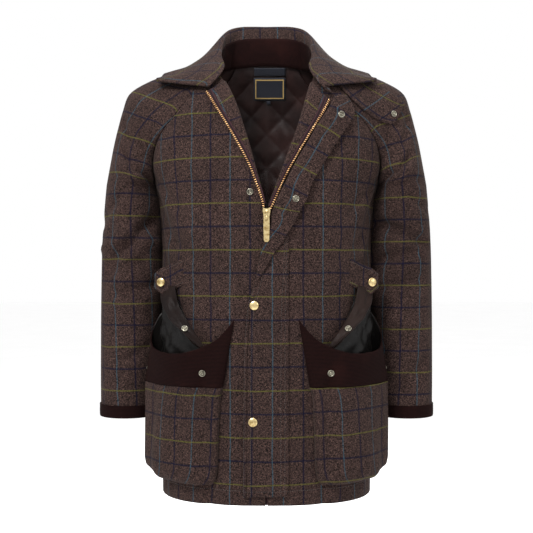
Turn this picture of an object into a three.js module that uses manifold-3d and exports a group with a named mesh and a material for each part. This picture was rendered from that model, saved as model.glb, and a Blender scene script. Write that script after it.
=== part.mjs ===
// A man's tweed field jacket with a turned-down collar, a zip front under a storm flap,
// raglan sleeves and two bellows pockets, standing hollow in the shape it takes when worn.
// Millimetres, +Z up. The front faces -Y and the wearer's left arm is towards +X.
// The origin is the middle of the neck opening, level with the back neck seam.
import * as THREE from 'three';
import { mergeVertices } from 'three/addons/utils/BufferGeometryUtils.js';
import Module from 'manifold-3d';

const wasm = await Module();
wasm.setup();

// Driving sizes
const CLOTH = 2.6; // tweed with its interlining
const SEAM = 0.22; // each panel stops this far from the seam line
const LAY = 0.35; // a piece laid on a panel is this far off it
const HEM_Z = -775;
const CUFF_Z = -649;
const ARMPIT_Z = -240;
const SLIDER_Z = -299;
const LEFT = 1; // wearer's left, +X
const RIGHT = -1;

const cloth = (color, roughness) => new THREE.MeshStandardMaterial({ color, roughness, metalness: 0 });
const metal = (color) => new THREE.MeshStandardMaterial({ color, roughness: 0.35, metalness: 0.9 });
const TWEED = cloth(0x4a3a33, 0.95);
const CORDUROY = cloth(0x2a1513, 0.95);
const LINING = cloth(0x33282a, 0.6);
const SATIN = cloth(0x45393a, 0.45);
const TAPE = cloth(0x3b2226, 0.85);
const LABEL = cloth(0x14161f, 0.7);
const BRASS = metal(0xc9a24c);
const NICKEL = metal(0xb8b3a0);

const rad = (degrees) => (degrees * Math.PI) / 180;
const mix = (a, b, t) => a + (b - a) * t;
const smooth = (t) => {
  const c = Math.min(1, Math.max(0, t));
  return c * c * (3 - 2 * c);
};
const v3 = (x, y, z) => new THREE.Vector3(x, y, z);

// Reads one column of a table of sections, on a smooth curve through its rows.
function read(rows, column, by, value) {
  const up = rows[rows.length - 1][by] > rows[0][by];
  const past = (row) => (up ? row[by] >= value : row[by] <= value);
  const found = rows.findIndex(past);
  const i = Math.max(1, found < 0 ? rows.length - 1 : found);
  const [a, b] = [rows[i - 1], rows[i]];
  const slope = (j) => {
    const [p, q] = [rows[Math.max(0, j - 1)], rows[Math.min(rows.length - 1, j + 1)]];
    return (q[column] - p[column]) / (q[by] - p[by]);
  };
  const span = b[by] - a[by];
  const t = Math.min(1, Math.max(0, (value - a[by]) / span));
  const [t2, t3] = [t * t, t * t * t];
  return (
    a[column] * (2 * t3 - 3 * t2 + 1) + slope(i - 1) * span * (t3 - 2 * t2 + t) +
    b[column] * (3 * t2 - 2 * t3) + slope(i) * span * (t3 - t2)
  );
}

// The body of the jacket: half width and depths before and behind the side seams
const BODY = [
  { z: HEM_Z, half: 185, front: 152, back: 148 },
  { z: -700, half: 186, front: 152, back: 146 },
  { z: -600, half: 185, front: 151, back: 141 },
  { z: -500, half: 184, front: 149, back: 134 },
  { z: -400, half: 184, front: 146, back: 126 },
  { z: -320, half: 187, front: 143, back: 122 },
  { z: -270, half: 191, front: 142, back: 122 },
  { z: ARMPIT_Z, half: 198, front: 141, back: 125 },
  { z: -215, half: 208, front: 139, back: 127 },
  { z: -190, half: 211, front: 136, back: 128 },
  { z: -150, half: 209, front: 130, back: 127 },
  { z: -110, half: 204, front: 120, back: 123 },
  { z: -88, half: 196, front: 110, back: 119 },
  { z: -70, half: 176, front: 100, back: 114 },
  { z: -52, half: 150, front: 86, back: 108 },
  { z: -30, half: 130, front: 74, back: 98 },
  { z: -8, half: 110, front: 62, back: 84 },
  { z: 8, half: 100, front: 56, back: 78 },
];
const SQUARENESS = 0.05;

// Soft folds in the body cloth: from and to (degrees round from the front, height), width and depth
const BODY_FOLDS = [
  { from: 80, fromZ: -262, to: 52, toZ: -352, width: 15, depth: -5 },
  { from: 84, fromZ: -300, to: 60, toZ: -420, width: 14, depth: -4 },
  { from: 58, fromZ: -128, to: 74, toZ: -218, width: 13, depth: -4 },
  { from: 34, fromZ: -200, to: 30, toZ: -420, width: 24, depth: 3 },
  { from: 100, fromZ: -262, to: 128, toZ: -380, width: 15, depth: -6 },
  { from: 122, fromZ: -150, to: 108, toZ: -232, width: 14, depth: -5 },
  { from: 152, fromZ: -210, to: 158, toZ: -640, width: 20, depth: 4 },
  { from: 168, fromZ: -330, to: 166, toZ: -770, width: 18, depth: -4 },
  { from: 130, fromZ: -430, to: 136, toZ: -770, width: 20, depth: -5 },
  { from: 112, fromZ: -500, to: 116, toZ: -770, width: 18, depth: 4 },
];
const BODY_ARC = 165; // millimetres of cloth for each radian round the body

// Depth of a set of folds at a place (across, along), both in millimetres
function relief(folds, across, along) {
  let sum = 0;
  for (const fold of folds) {
    const [dx, dz] = [fold.x1 - fold.x0, fold.z1 - fold.z0];
    const length2 = dx * dx + dz * dz;
    const t = ((across - fold.x0) * dx + (along - fold.z0) * dz) / length2;
    const off = ((across - fold.x0) * dz - (along - fold.z0) * dx) / Math.sqrt(length2);
    const ends = smooth(t / 0.25 + 0.5) * smooth((1 - t) / 0.25 + 0.5);
    sum += fold.depth * Math.exp(-((off / fold.width) ** 2)) * ends;
  }
  return sum;
}
const bodyFolds = BODY_FOLDS.map((fold) => ({
  x0: rad(fold.from) * BODY_ARC, z0: fold.fromZ, x1: rad(fold.to) * BODY_ARC, z1: fold.toZ,
  width: fold.width, depth: fold.depth,
}));

function bodyBare(phi, z) {
  const k = 1 + SQUARENESS * Math.sin(2 * phi) ** 2;
  const depth = read(BODY, Math.cos(phi) > 0 ? 'front' : 'back', 'z', z);
  return v3(read(BODY, 'half', 'z', z) * Math.sin(phi) * k, -depth * Math.cos(phi) * k, z);
}
function bodyNormal(phi, z) {
  const across = bodyBare(phi + 0.01, z).sub(bodyBare(phi - 0.01, z));
  const up = bodyBare(phi, z + 2).sub(bodyBare(phi, z - 2));
  return across.cross(up).normalize();
}
// A place on the body cloth: angle round from the front (+ to the wearer's left), height, height off it
function onBody(phi, z, off = 0) {
  const around = Math.abs(phi) > Math.PI ? 2 * Math.PI - Math.abs(phi) : Math.abs(phi);
  const fold = relief(bodyFolds, around * BODY_ARC, z);
  return bodyBare(phi, z).addScaledVector(bodyNormal(phi, z), fold + off);
}
// The angle round the body at which the front (or the back) has this x
function angleAt(x, z, behind = false) {
  const half = read(BODY, 'half', 'z', z);
  let [low, high] = [0, Math.PI / 2];
  for (let i = 0; i < 40; i++) {
    const middle = (low + high) / 2;
    const reach = half * Math.sin(middle) * (1 + SQUARENESS * Math.sin(2 * middle) ** 2);
    if (reach < Math.abs(x)) low = middle;
    else high = middle;
  }
  return Math.sign(x || 1) * (behind ? Math.PI - low : low);
}
const onFront = (x, z, off = 0) => onBody(angleAt(x, z), z, off);

// The raglan sleeve, one row for each section from the cuff to the neck. front and back are its two
// ends at the underarm seam, and on the raglan seams above it; ridge is its outermost line.
// bulge is how far the arc between them swells, as a share of its chord.
const SLEEVE = [
  { t: 0, z: CUFF_Z, inner: 202, outer: 298.5, middle: 8, depth: 47 },
  { t: 1, z: -625, inner: 201, outer: 298.5, middle: 9, depth: 48.5 },
  { t: 2, z: -580, inner: 199, outer: 299, middle: 11, depth: 51 },
  { t: 3, z: -535, inner: 195, outer: 299, middle: 12, depth: 53.5 },
  { t: 4, z: -490, inner: 189.5, outer: 299, middle: 13, depth: 56 },
  { t: 5, z: -445, inner: 186, outer: 298.5, middle: 13, depth: 59 },
  { t: 6, z: -400, inner: 185.4, outer: 297.5, middle: 12, depth: 62 },
  { t: 7, z: -355, inner: 186.3, outer: 296, middle: 10, depth: 65 },
  { t: 8, z: -312, inner: 188.8, outer: 293.5, middle: 8, depth: 68 },
  { t: 9, z: -274, inner: 192.6, outer: 289.5, middle: 4, depth: 72 },
  { t: 10, z: ARMPIT_Z, inner: 198.8, outer: 285.5, middle: 1, depth: 74 },
];
// side tells how far the arc leaves the seam along its chord instead of straight forward
const CAP = [
  { t: 10, frontX: 198, frontZ: -240, backX: 198, backZ: -240, ridgeX: 285.5, ridgeY: 1, ridgeZ: -240, bulge: 1.12, side: 0, lift: 0 },
  { t: 11, frontX: 200, frontZ: -214, backX: 201, backZ: -212, ridgeX: 279.5, ridgeY: 3, ridgeZ: -205, bulge: 0.76, side: 0.3, lift: 0 },
  { t: 12, frontX: 200, frontZ: -191, backX: 199, backZ: -186, ridgeX: 273.5, ridgeY: 4, ridgeZ: -171, bulge: 0.6, side: 0.45, lift: 0.1 },
  { t: 13, frontX: 191, frontZ: -169, backX: 191, backZ: -158, ridgeX: 266, ridgeY: 5, ridgeZ: -138, bulge: 0.5, side: 0.62, lift: 0.15 },
  { t: 14, frontX: 176, frontZ: -148, backX: 177, backZ: -131, ridgeX: 258, ridgeY: 5, ridgeZ: -106, bulge: 0.42, side: 0.8, lift: 0.2 },
  { t: 15, frontX: 159, frontZ: -129, backX: 159, backZ: -105, ridgeX: 246, ridgeY: 5, ridgeZ: -75, bulge: 0.38, side: 0.95, lift: 0.25 },
  { t: 16, frontX: 141, frontZ: -108, backX: 137, backZ: -79, ridgeX: 214, ridgeY: 6, ridgeZ: -54, bulge: 0.36, side: 1, lift: 0.25 },
  { t: 17, frontX: 127, frontZ: -88, backX: 113, backZ: -54, ridgeX: 178, ridgeY: 8, ridgeZ: -40, bulge: 0.36, side: 1, lift: 0.2 },
  { t: 18, frontX: 114, frontZ: -70, backX: 91, backZ: -30, ridgeX: 136, ridgeY: 9, ridgeZ: -28, bulge: 0.35, side: 1, lift: 0.15 },
  { t: 19, frontX: 100, frontZ: -52, backX: 72, backZ: -8, ridgeX: 88, ridgeY: 8, ridgeZ: -18, bulge: 0.33, side: 1, lift: 0.08 },
];
const ARMPIT_T = 10;
const NECK_T = 19;

// Creases in a sleeve: round from the underarm seam (0 to 2: front, outer, back), section number, width and depth
const SLEEVE_FOLDS = {
  [RIGHT]: [
    { from: 0.1, fromT: 8.6, to: 0.75, toT: 6.4, width: 11, depth: -6 },
    { from: 0.15, fromT: 7.2, to: 0.62, toT: 7.9, width: 10, depth: 5 },
    { from: 0.3, fromT: 6.6, to: 0.8, toT: 6.1, width: 12, depth: -3 },
    { from: 0.05, fromT: 10.2, to: 0.5, toT: 11.8, width: 12, depth: -6 },
    { from: 1.95, fromT: 8.4, to: 1.3, toT: 6.6, width: 12, depth: -5 },
    { from: 1.9, fromT: 10, to: 1.5, toT: 11.6, width: 12, depth: -5 },
    { from: 1.5, fromT: 5.6, to: 1.6, toT: 2.2, width: 14, depth: 3 },
  ],
  [LEFT]: [
    { from: 0.1, fromT: 8.2, to: 0.8, toT: 7.2, width: 11, depth: -6 },
    { from: 0.12, fromT: 6.6, to: 0.7, toT: 6.9, width: 11, depth: -4 },
    { from: 0.3, fromT: 1.6, to: 0.75, toT: 2.6, width: 12, depth: -3 },
    { from: 0.05, fromT: 10.2, to: 0.5, toT: 11.6, width: 12, depth: -6 },
    { from: 1.95, fromT: 8.8, to: 1.35, toT: 7, width: 12, depth: -5 },
    { from: 1.9, fromT: 10, to: 1.5, toT: 11.6, width: 12, depth: -5 },
    { from: 1.45, fromT: 5, to: 1.6, toT: 1.8, width: 14, depth: 3 },
  ],
};
const SLEEVE_ARC = 150; // millimetres of cloth for each unit round the sleeve
const SLEEVE_ROW = 43; // and for each section along it

function bezier(a, b, c, d, t) {
  const s = 1 - t;
  return a.clone().multiplyScalar(s * s * s).addScaledVector(b, 3 * s * s * t)
    .addScaledVector(c, 3 * s * t * t).addScaledVector(d, t * t * t);
}
// A place on the wearer's left sleeve without its creases: section t, and round from 0 to 2
function sleeveBare(t, round) {
  const back = round > 1;
  const turn = back ? -1 : 1; // the back half mirrors the front one in y
  if (t <= ARMPIT_T) {
    const at = (column) => read(SLEEVE, column, 't', t);
    const swell = (4 / 3) * at('depth') * -turn;
    const [z, y] = [at('z'), at('middle')];
    const [start, end] = [v3(at('inner'), y, z), v3(at('outer'), y, z)];
    const [one, two] = [start.clone().setY(y + swell), end.clone().setY(y + swell)];
    return bezier(start, one, two, end, back ? 2 - round : round);
  }
  const at = (column) => read(CAP, column, 't', t);
  const seam = back ? onBody(angleAt(at('backX'), at('backZ'), true), at('backZ'))
    : onFront(at('frontX'), at('frontZ'));
  const ridge = v3(at('ridgeX'), at('ridgeY'), at('ridgeZ'));
  const reach = at('bulge') * seam.distanceTo(ridge);
  const chord = ridge.clone().sub(seam).normalize().addScaledVector(bodyNormal(back ? angleAt(at('backX'), at('backZ'), true)
    : angleAt(at('frontX'), at('frontZ')), seam.z), at('lift'));
  const leave = v3(0, -turn * (1 - at('side')), 0).addScaledVector(chord, at('side')).normalize();
  return bezier(seam, seam.clone().addScaledVector(leave, reach),
    ridge.clone().add(v3(0, -turn * reach, 0)), ridge, back ? 2 - round : round);
}

// A grid of points of one panel, moved in by the seam allowance along each edge that is asked for
function panel(rows, columns, place) {
  return rows.map((row) => columns.map((column) => place(row, column)));
}
function normals(grid) {
  const [last, end] = [grid.length - 1, grid[0].length - 1];
  return grid.map((row, i) => row.map((_, j) => {
    const across = grid[i][Math.min(end, j + 1)].clone().sub(grid[i][Math.max(0, j - 1)]);
    const along = grid[Math.min(last, i + 1)][j].clone().sub(grid[Math.max(0, i - 1)][j]);
    return across.cross(along).normalize();
  }));
}
function inset(grid, by = SEAM) {
  const [last, end] = [grid.length - 1, grid[0].length - 1];
  const pulled = (p, q) => p.clone().add(q.clone().sub(p).setLength(by));
  return grid.map((row, i) => row.map((p, j) => {
    let moved = p.clone();
    if (i === 0) moved = pulled(moved, grid[1][j]);
    if (i === last) moved = pulled(moved, grid[last - 1][j]);
    if (j === 0) moved = pulled(moved, grid[i][1]);
    if (j === end) moved = pulled(moved, grid[i][end - 1]);
    return moved;
  }));
}

// A closed solid from rings of points: each ring has the same number, and flat ends close it
// With alike, the second half of each ring, which is the inside of a wall read backwards, is
// split the other way, so that both faces of the wall have the same facets.
function solidFromRings(rings, endless = false, alike = false) {
  const count = rings[0].length;
  const position = rings.flat().flatMap((p) => [p.x, p.y, p.z]);
  const index = [];
  const quad = (a, b, c, d) => index.push(a, b, c, a, c, d);
  const steps = endless ? rings.length : rings.length - 1;
  for (let i = 0; i < steps; i++) {
    const [low, high] = [i * count, ((i + 1) % rings.length) * count];
    for (let j = 0; j < count; j++) {
      const next = (j + 1) % count;
      if (!alike || j < count / 2) quad(low + j, low + next, high + next, high + j);
      else quad(low + next, high + next, high + j, low + j);
    }
  }
  if (!endless) {
    // an end is a strip between the ring's two halves, so that a bent section closes cleanly
    for (const [base, flip] of [[0, true], [(rings.length - 1) * count, false]]) {
      for (let j = 0; j < count / 2 - 1; j++) {
        const four = [base + j, base + j + 1, base + count - 2 - j, base + count - 1 - j];
        quad(...(flip ? four.reverse() : four));
      }
    }
  }
  return closed(position, index);
}
function closed(position, index) {
  let volume = 0;
  const at = (i) => v3(position[3 * i], position[3 * i + 1], position[3 * i + 2]);
  for (let i = 0; i < index.length; i += 3) {
    volume += at(index[i]).dot(at(index[i + 1]).cross(at(index[i + 2])));
  }
  if (volume < 0) index.reverse();
  const geometry = new THREE.BufferGeometry();
  geometry.setAttribute('position', new THREE.Float32BufferAttribute(position, 3));
  geometry.setIndex(index);
  return geometry;
}
// A wall of cloth: the grid moved out and in along its normals, with the edges closed.
// A tube's columns meet at the end, and it then has two rims and no side edges.
function wall(grid, outward, inward, direction = normals(grid), tube = false) {
  const layer = (by) => grid.map((row, i) => row.map((p, j) => p.clone().addScaledVector(direction[i][j], by)));
  const [outer, inner] = [layer(outward), layer(inward)];
  if (!tube) return solidFromRings(outer.map((row, i) => [...row, ...inner[i].slice().reverse()]), false, true);
  const around = outer[0].map((_, j) => [...outer.map((row) => row[j]), ...inner.map((row) => row[j]).reverse()]);
  return solidFromRings(around, true);
}
// The same normal at a seam that two panels share, where they are not folded back on each other
function share(one, other) {
  const sum = one.clone().add(other);
  if (sum.length() < 0.7) return;
  sum.normalize();
  one.copy(sum);
  other.copy(sum);
}

// Booleans for the small metal parts
function solidOf(geometry) {
  const merged = mergeVertices(geometry.index ? geometry : geometry.clone(), 1e-3);
  return new wasm.Manifold(new wasm.Mesh({
    numProp: 3, vertProperties: merged.attributes.position.array, triVerts: new Uint32Array(merged.index.array),
  }));
}
function meshed(solid) {
  const { vertProperties, triVerts } = solid.getMesh();
  const geometry = new THREE.BufferGeometry();
  geometry.setAttribute('position', new THREE.Float32BufferAttribute(vertProperties, 3));
  geometry.setIndex([...triVerts]);
  return geometry;
}
const joined = (a, b) => meshed(solidOf(a).add(solidOf(b)));
const cut = (a, b) => meshed(solidOf(a).subtract(solidOf(b)));

const jacket = new THREE.Group();
function add(name, geometry, material, group = jacket) {
  const mesh = new THREE.Mesh(geometry, material);
  mesh.name = name;
  group.add(mesh);
  return mesh;
}
const range = (from, to, count) => Array.from({ length: count + 1 }, (_, i) => mix(from, to, i / count));
const word = (side) => (side === LEFT ? 'left' : 'right');
const mirrored = (grid) => grid.map((row) => row.map((p) => v3(-p.x, p.y, p.z)));

// The turned-back edge of each front: the roll line, and the zip line outside it, from the slider up
const LAPEL = {
  [RIGHT]: [
    { t: 0, rollX: 1.8, rollZ: SLIDER_Z, zipX: 2.5, zipZ: -297 },
    { t: 1, rollX: 7, rollZ: -269, zipX: 8.5, zipZ: -270 },
    { t: 2, rollX: 14, rollZ: -242, zipX: 18, zipZ: -243 },
    { t: 3, rollX: 21, rollZ: -217, zipX: 28, zipZ: -217 },
    { t: 4, rollX: 30, rollZ: -183, zipX: 45, zipZ: -184 },
    { t: 5, rollX: 39, rollZ: -153, zipX: 62, zipZ: -154 },
    { t: 6, rollX: 50, rollZ: -118, zipX: 80, zipZ: -124 },
    { t: 7, rollX: 62, rollZ: -88, zipX: 94, zipZ: -101 },
    { t: 8, rollX: 79, rollZ: -57, zipX: 104, zipZ: -84 },
  ],
  [LEFT]: [
    { t: 0, rollX: 1.8, rollZ: SLIDER_Z, zipX: 2.5, zipZ: -297 },
    { t: 1, rollX: 8, rollZ: -277, zipX: 12, zipZ: -278 },
    { t: 2, rollX: 16, rollZ: -255, zipX: 22, zipZ: -254 },
    { t: 3, rollX: 25, rollZ: -230, zipX: 35, zipZ: -227 },
    { t: 4, rollX: 36, rollZ: -200, zipX: 53, zipZ: -195 },
    { t: 5, rollX: 49, rollZ: -165, zipX: 70, zipZ: -166 },
    { t: 6, rollX: 60, rollZ: -130, zipX: 86, zipZ: -140 },
    { t: 7, rollX: 70, rollZ: -94, zipX: 98, zipZ: -118 },
    { t: 8, rollX: 81, rollZ: -57, zipX: 108, zipZ: -97 },
  ],
};
const LAPEL_TOP = 8;
const CENTRE_GAP = 1.8;
// The front edge of a front panel at this height, as a distance from the centre
function frontEdge(side, z) {
  if (z <= SLIDER_Z) return CENTRE_GAP;
  return read(LAPEL[side], 'rollX', 'rollZ', z);
}

// Panels
const LOW_ROWS = [HEM_Z, -735, -690, -640, -590, -540, -490, -440, -390, -345, -305, -272, ARMPIT_Z];
const CAP_ROWS = range(ARMPIT_T, NECK_T, NECK_T - ARMPIT_T);
const FRONT_COLUMNS = range(0, 1, 9);
const BACK_COLUMNS = range(-1, 1, 18);
const ROLL_TOP_Z = -57;

// The hem hangs a little lower at the sides than in the middle
const hemDrop = (z, phi) => (z === HEM_Z ? 4 * Math.sin(phi) ** 2 : 0);
function frontGrid(side) {
  const low = LOW_ROWS.slice(0, -1).map((z) => ({ edgeZ: z, sideZ: z, sideAngle: Math.PI / 2 }));
  const high = CAP_ROWS.map((t) => {
    const [x, z] = [read(CAP, 'frontX', 't', t), read(CAP, 'frontZ', 't', t)];
    const up = smooth((t - NECK_T + 2) / 2);
    return { edgeZ: mix(z, z + (ROLL_TOP_Z + 52), up), sideZ: z, sideAngle: t === ARMPIT_T ? Math.PI / 2 : angleAt(x, z) };
  });
  return panel([...low, ...high], FRONT_COLUMNS, (row, u) => {
    const z = mix(row.edgeZ, row.sideZ, u);
    const start = angleAt(frontEdge(side, row.edgeZ), row.edgeZ);
    const phi = mix(start, row.sideAngle, u);
    return onBody(phi, z - hemDrop(z, phi));
  });
}
function backGrid() {
  const low = LOW_ROWS.slice(0, -1).map((z) => ({ z, sideAngle: Math.PI / 2, crown: 0 }));
  const high = CAP_ROWS.map((t) => {
    const [x, z] = [read(CAP, 'backX', 't', t), read(CAP, 'backZ', 't', t)];
    const crown = 8 * smooth((t - NECK_T + 2) / 2);
    return { z, sideAngle: t === ARMPIT_T ? Math.PI / 2 : angleAt(x, z, true), crown };
  });
  return panel([...low, ...high], BACK_COLUMNS, (row, u) => {
    const phi = Math.PI - (Math.PI - row.sideAngle) * u;
    return onBody(phi, row.z + row.crown * (1 - u * u) - hemDrop(row.z, phi));
  });
}
const SLEEVE_ROWS = [...range(0, ARMPIT_T, 13), ...CAP_ROWS.slice(1)];
const SLEEVE_COLUMNS = range(0, 2, 18);
function sleeveGrid(side) {
  const folds = SLEEVE_FOLDS[side].map((fold) => ({
    x0: fold.from * SLEEVE_ARC, z0: fold.fromT * SLEEVE_ROW, x1: fold.to * SLEEVE_ARC, z1: fold.toT * SLEEVE_ROW,
    width: fold.width, depth: fold.depth,
  }));
  const bare = panel(SLEEVE_ROWS, SLEEVE_COLUMNS, sleeveBare);
  const out = normals(bare);
  return bare.map((row, i) => row.map((p, j) => {
    const [t, round] = [SLEEVE_ROWS[i], SLEEVE_COLUMNS[j]];
    const inside = smooth(round * 6) * smooth((2 - round) * 6); // no crease crosses a seam
    return p.clone().addScaledVector(out[i][j], inside * relief(folds, round * SLEEVE_ARC, t * SLEEVE_ROW));
  }));
}

const fronts = { [RIGHT]: frontGrid(RIGHT), [LEFT]: frontGrid(LEFT) };
const sleeves = { [RIGHT]: sleeveGrid(RIGHT), [LEFT]: sleeveGrid(LEFT) };
const back = backGrid();
const backOut = normals(back).map((row) => row.map((n) => n.negate()));
const frontOut = { [RIGHT]: normals(fronts[RIGHT]), [LEFT]: normals(fronts[LEFT]) };
const sleeveOut = { [RIGHT]: normals(sleeves[RIGHT]), [LEFT]: normals(sleeves[LEFT]) };
// Neighbours share their normals along the side seams, the underarm seams and the raglan seams
const lowCount = LOW_ROWS.length - 1;
const sleeveLow = SLEEVE_ROWS.indexOf(ARMPIT_T);
const backEnd = BACK_COLUMNS.length - 1;
const sleeveEnd = SLEEVE_COLUMNS.length - 1;
const frontEnd = FRONT_COLUMNS.length - 1;
for (const side of [RIGHT, LEFT]) {
  const mirror = (n) => (side === LEFT ? n : v3(-n.x, n.y, n.z));
  const shareAcross = (mine, backNormal) => {
    const turned = mirror(backNormal);
    share(mine, turned);
    backNormal.copy(mirror(turned));
  };
  const backColumn = side === LEFT ? backEnd : 0;
  for (let i = 0; i <= lowCount; i++) shareAcross(frontOut[side][i][frontEnd], backOut[i][backColumn]);
  for (let i = 0; i <= sleeveLow; i++) share(sleeveOut[side][i][0], sleeveOut[side][i][sleeveEnd]);
  for (let k = 1; k < CAP_ROWS.length; k++) {
    share(frontOut[side][lowCount + k][frontEnd], sleeveOut[side][sleeveLow + k][0]);
    shareAcross(sleeveOut[side][sleeveLow + k][sleeveEnd], backOut[lowCount + k][backColumn]);
  }
}
for (const side of [RIGHT, LEFT]) {
  const [frontPoints, sleevePoints] = [inset(fronts[side]), inset(sleeves[side])];
  const frontWall = side === LEFT ? [frontPoints, frontOut[side]] : [mirrored(frontPoints), mirrored(frontOut[side])];
  const sleeveWall = side === LEFT ? [sleevePoints, sleeveOut[side]] : [mirrored(sleevePoints), mirrored(sleeveOut[side])];
  add(`front_${word(side)}`, wall(frontWall[0], 0, -CLOTH, frontWall[1]), TWEED);
  add(`sleeve_${word(side)}`, wall(sleeveWall[0], 0, -CLOTH, sleeveWall[1]), TWEED);
}
add('back', wall(inset(back), 0, -CLOTH, backOut), TWEED);


// The faces that other pieces lie on, on each side of the jacket (the wearer's right one is mirrored)
const faces = {};
for (const side of [RIGHT, LEFT]) {
  faces[side] = [];
  for (const [grid, out] of [[fronts[side], frontOut[side]], [sleeves[side], sleeveOut[side]], [back, backOut]]) {
    for (let i = 0; i < grid.length - 1; i++) {
      for (let j = 0; j < grid[0].length - 1; j++) {
        const corner = (a, b) => ({ p: grid[i + a][j + b], n: out[i + a][j + b] });
        faces[side].push([corner(0, 0), corner(0, 1), corner(1, 1)], [corner(0, 0), corner(1, 1), corner(1, 0)]);
      }
    }
  }
}
const blend = (face, weights) => v3(0, 0, 0).addScaledVector(face[0].n, weights.x)
  .addScaledVector(face[1].n, weights.y).addScaledVector(face[2].n, weights.z).normalize();
// Moves a point out until it is this far off the cloth under it
function settle(p, side, gap) {
  let best = { distance: Infinity };
  for (const face of faces[side]) {
    if (face[0].p.distanceTo(p) > best.distance + 90) continue;
    const triangle = new THREE.Triangle(face[0].p, face[1].p, face[2].p);
    const near = triangle.closestPointToPoint(p, v3(0, 0, 0));
    const distance = near.distanceTo(p);
    if (distance < best.distance) best = { distance, near, face, triangle };
  }
  const n = blend(best.face, best.triangle.getBarycoord(best.near, v3(0, 0, 0)));
  const height = p.clone().sub(best.near).dot(n);
  return height < gap ? p.clone().addScaledVector(n, gap - height) : p;
}
// The cloth seen straight from the front at this place, and its direction out
function frontHit(x, z, side) {
  let best = { y: Infinity };
  for (const face of faces[side]) {
    const flat = face.map(({ p }) => v3(p.x, 0, p.z));
    const triangle = new THREE.Triangle(...flat);
    if (triangle.getArea() < 1e-6) continue;
    const w = triangle.getBarycoord(v3(x, 0, z), v3(0, 0, 0));
    if (!w || Math.min(w.x, w.y, w.z) < -1e-6) continue;
    const y = face[0].p.y * w.x + face[1].p.y * w.y + face[2].p.y * w.z;
    if (y < best.y) best = { y, n: blend(face, w) };
  }
  return { p: v3(x, best.y, z), n: best.n };
}
// A wall between two heights over a surface; the heights may change from place to place
function layer(rows, columns, place, low, high) {
  const at = (height) => rows.map((row) => columns.map((column) => place(row, column, height(row, column))));
  const [outer, inner] = [at(high), at(low)];
  return solidFromRings(outer.map((row, i) => [...row, ...inner[i].slice().reverse()]));
}
// A ribbon of cloth in section: a line of (across, height) places made this thick
function ribbon(path, thick) {
  const side = (sign) => path.map(([s, h], i) => {
    const [before, after] = [path[Math.max(0, i - 1)], path[Math.min(path.length - 1, i + 1)]];
    const length = Math.hypot(after[0] - before[0], after[1] - before[1]);
    return [s - (sign * thick * (after[1] - before[1])) / length / 2, h + (sign * thick * (after[0] - before[0])) / length / 2];
  });
  return [...side(1), ...side(-1).reverse()];
}
const forSide = (side, p) => v3(side * p.x, p.y, p.z);

// Lapels: the facing turned back over each front edge, the zip tape on it and the row of teeth
const FACING = 2;
const CHAIN_HALF = 2.4;
const lapelTs = [0.6, 1, 2, 3, 3.5, 4, 4.5, 5, 5.5, 6, 6.5, 7, 7.3, 7.55];
for (const side of [RIGHT, LEFT]) {
  const strips = (path, thick) => solidFromRings(lapelTs.map((t) => {
    const at = (column) => read(LAPEL[side], column, 't', t);
    const [x, z] = [at('rollX'), at('rollZ')];
    const width = at('zipX') - x;
    const fall = at('zipZ') - z;
    return ribbon(path(width), thick).map(([s, h]) => {
      const down = z + (fall * Math.max(0, s)) / Math.max(width, 1);
      return forSide(side, onFront(x + s, down, h));
    });
  }));
  add(`facing_${word(side)}`, strips((w) => [[7, -5.2], [0.6, -5], [-2.4, -1.2], [0.6, 2.8],
    [mix(0.6, w, 0.5), 2.9], [w + 2.6, 2.6]], FACING), TWEED);
  const tapeStart = (w) => w - CHAIN_HALF - 0.3 - Math.min(8, 1.5 + 0.3 * w);
  add(`zip_tape_${word(side)}`, strips((w) => [[tapeStart(w), 4.7], [w - CHAIN_HALF - 0.3, 4.6]], 0.7), TAPE);
  add(`zip_chain_${word(side)}`, strips((w) => [[w - CHAIN_HALF, 5.4], [w + CHAIN_HALF, 5.4]], 2.2), BRASS);
}
// Below the slider the zip is closed: the teeth between the two fronts, their tape behind
const closedZip = [[-13, -4], [-13, -3], [-1.4, -3], [-1.4, 1.1], [1.4, 1.1], [1.4, -3], [13, -3], [13, -4], [0, -4]];
const zipRings = [-771, -690, -600, -500, -400, -316].map((z) => closedZip.map(([x, h]) => onFront(x || 0.001, z, h)));
add('zip_closed', prism(zipRings), BRASS);

// A closed body from rings whose ends are flat outlines
function prism(rings) {
  const count = rings[0].length;
  const position = rings.flat().flatMap((p) => [p.x, p.y, p.z]);
  const index = [];
  for (let i = 0; i < rings.length - 1; i++) {
    for (let j = 0; j < count; j++) {
      const [a, b] = [i * count + j, i * count + ((j + 1) % count)];
      index.push(a, b, b + count, a, b + count, a + count);
    }
  }
  const flat = rings[0].map((p) => new THREE.Vector2(p.x, p.y * 0.001 + p.z));
  const [u, w] = [rings[0][1].clone().sub(rings[0][0]), v3(0, 0, 0)];
  const n = v3(0, 0, 0);
  rings[0].forEach((p, j) => n.add(p.clone().cross(rings[0][(j + 1) % count])));
  n.normalize();
  u.addScaledVector(n, -u.dot(n)).normalize();
  w.crossVectors(n, u);
  rings[0].forEach((p, j) => flat[j].set(p.dot(u), p.dot(w)));
  const top = (rings.length - 1) * count;
  for (const [a, b, c] of THREE.ShapeUtils.triangulateShape(flat, [])) {
    index.push(a, c, b, top + a, top + b, top + c);
  }
  return closed(position, index);
}

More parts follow.
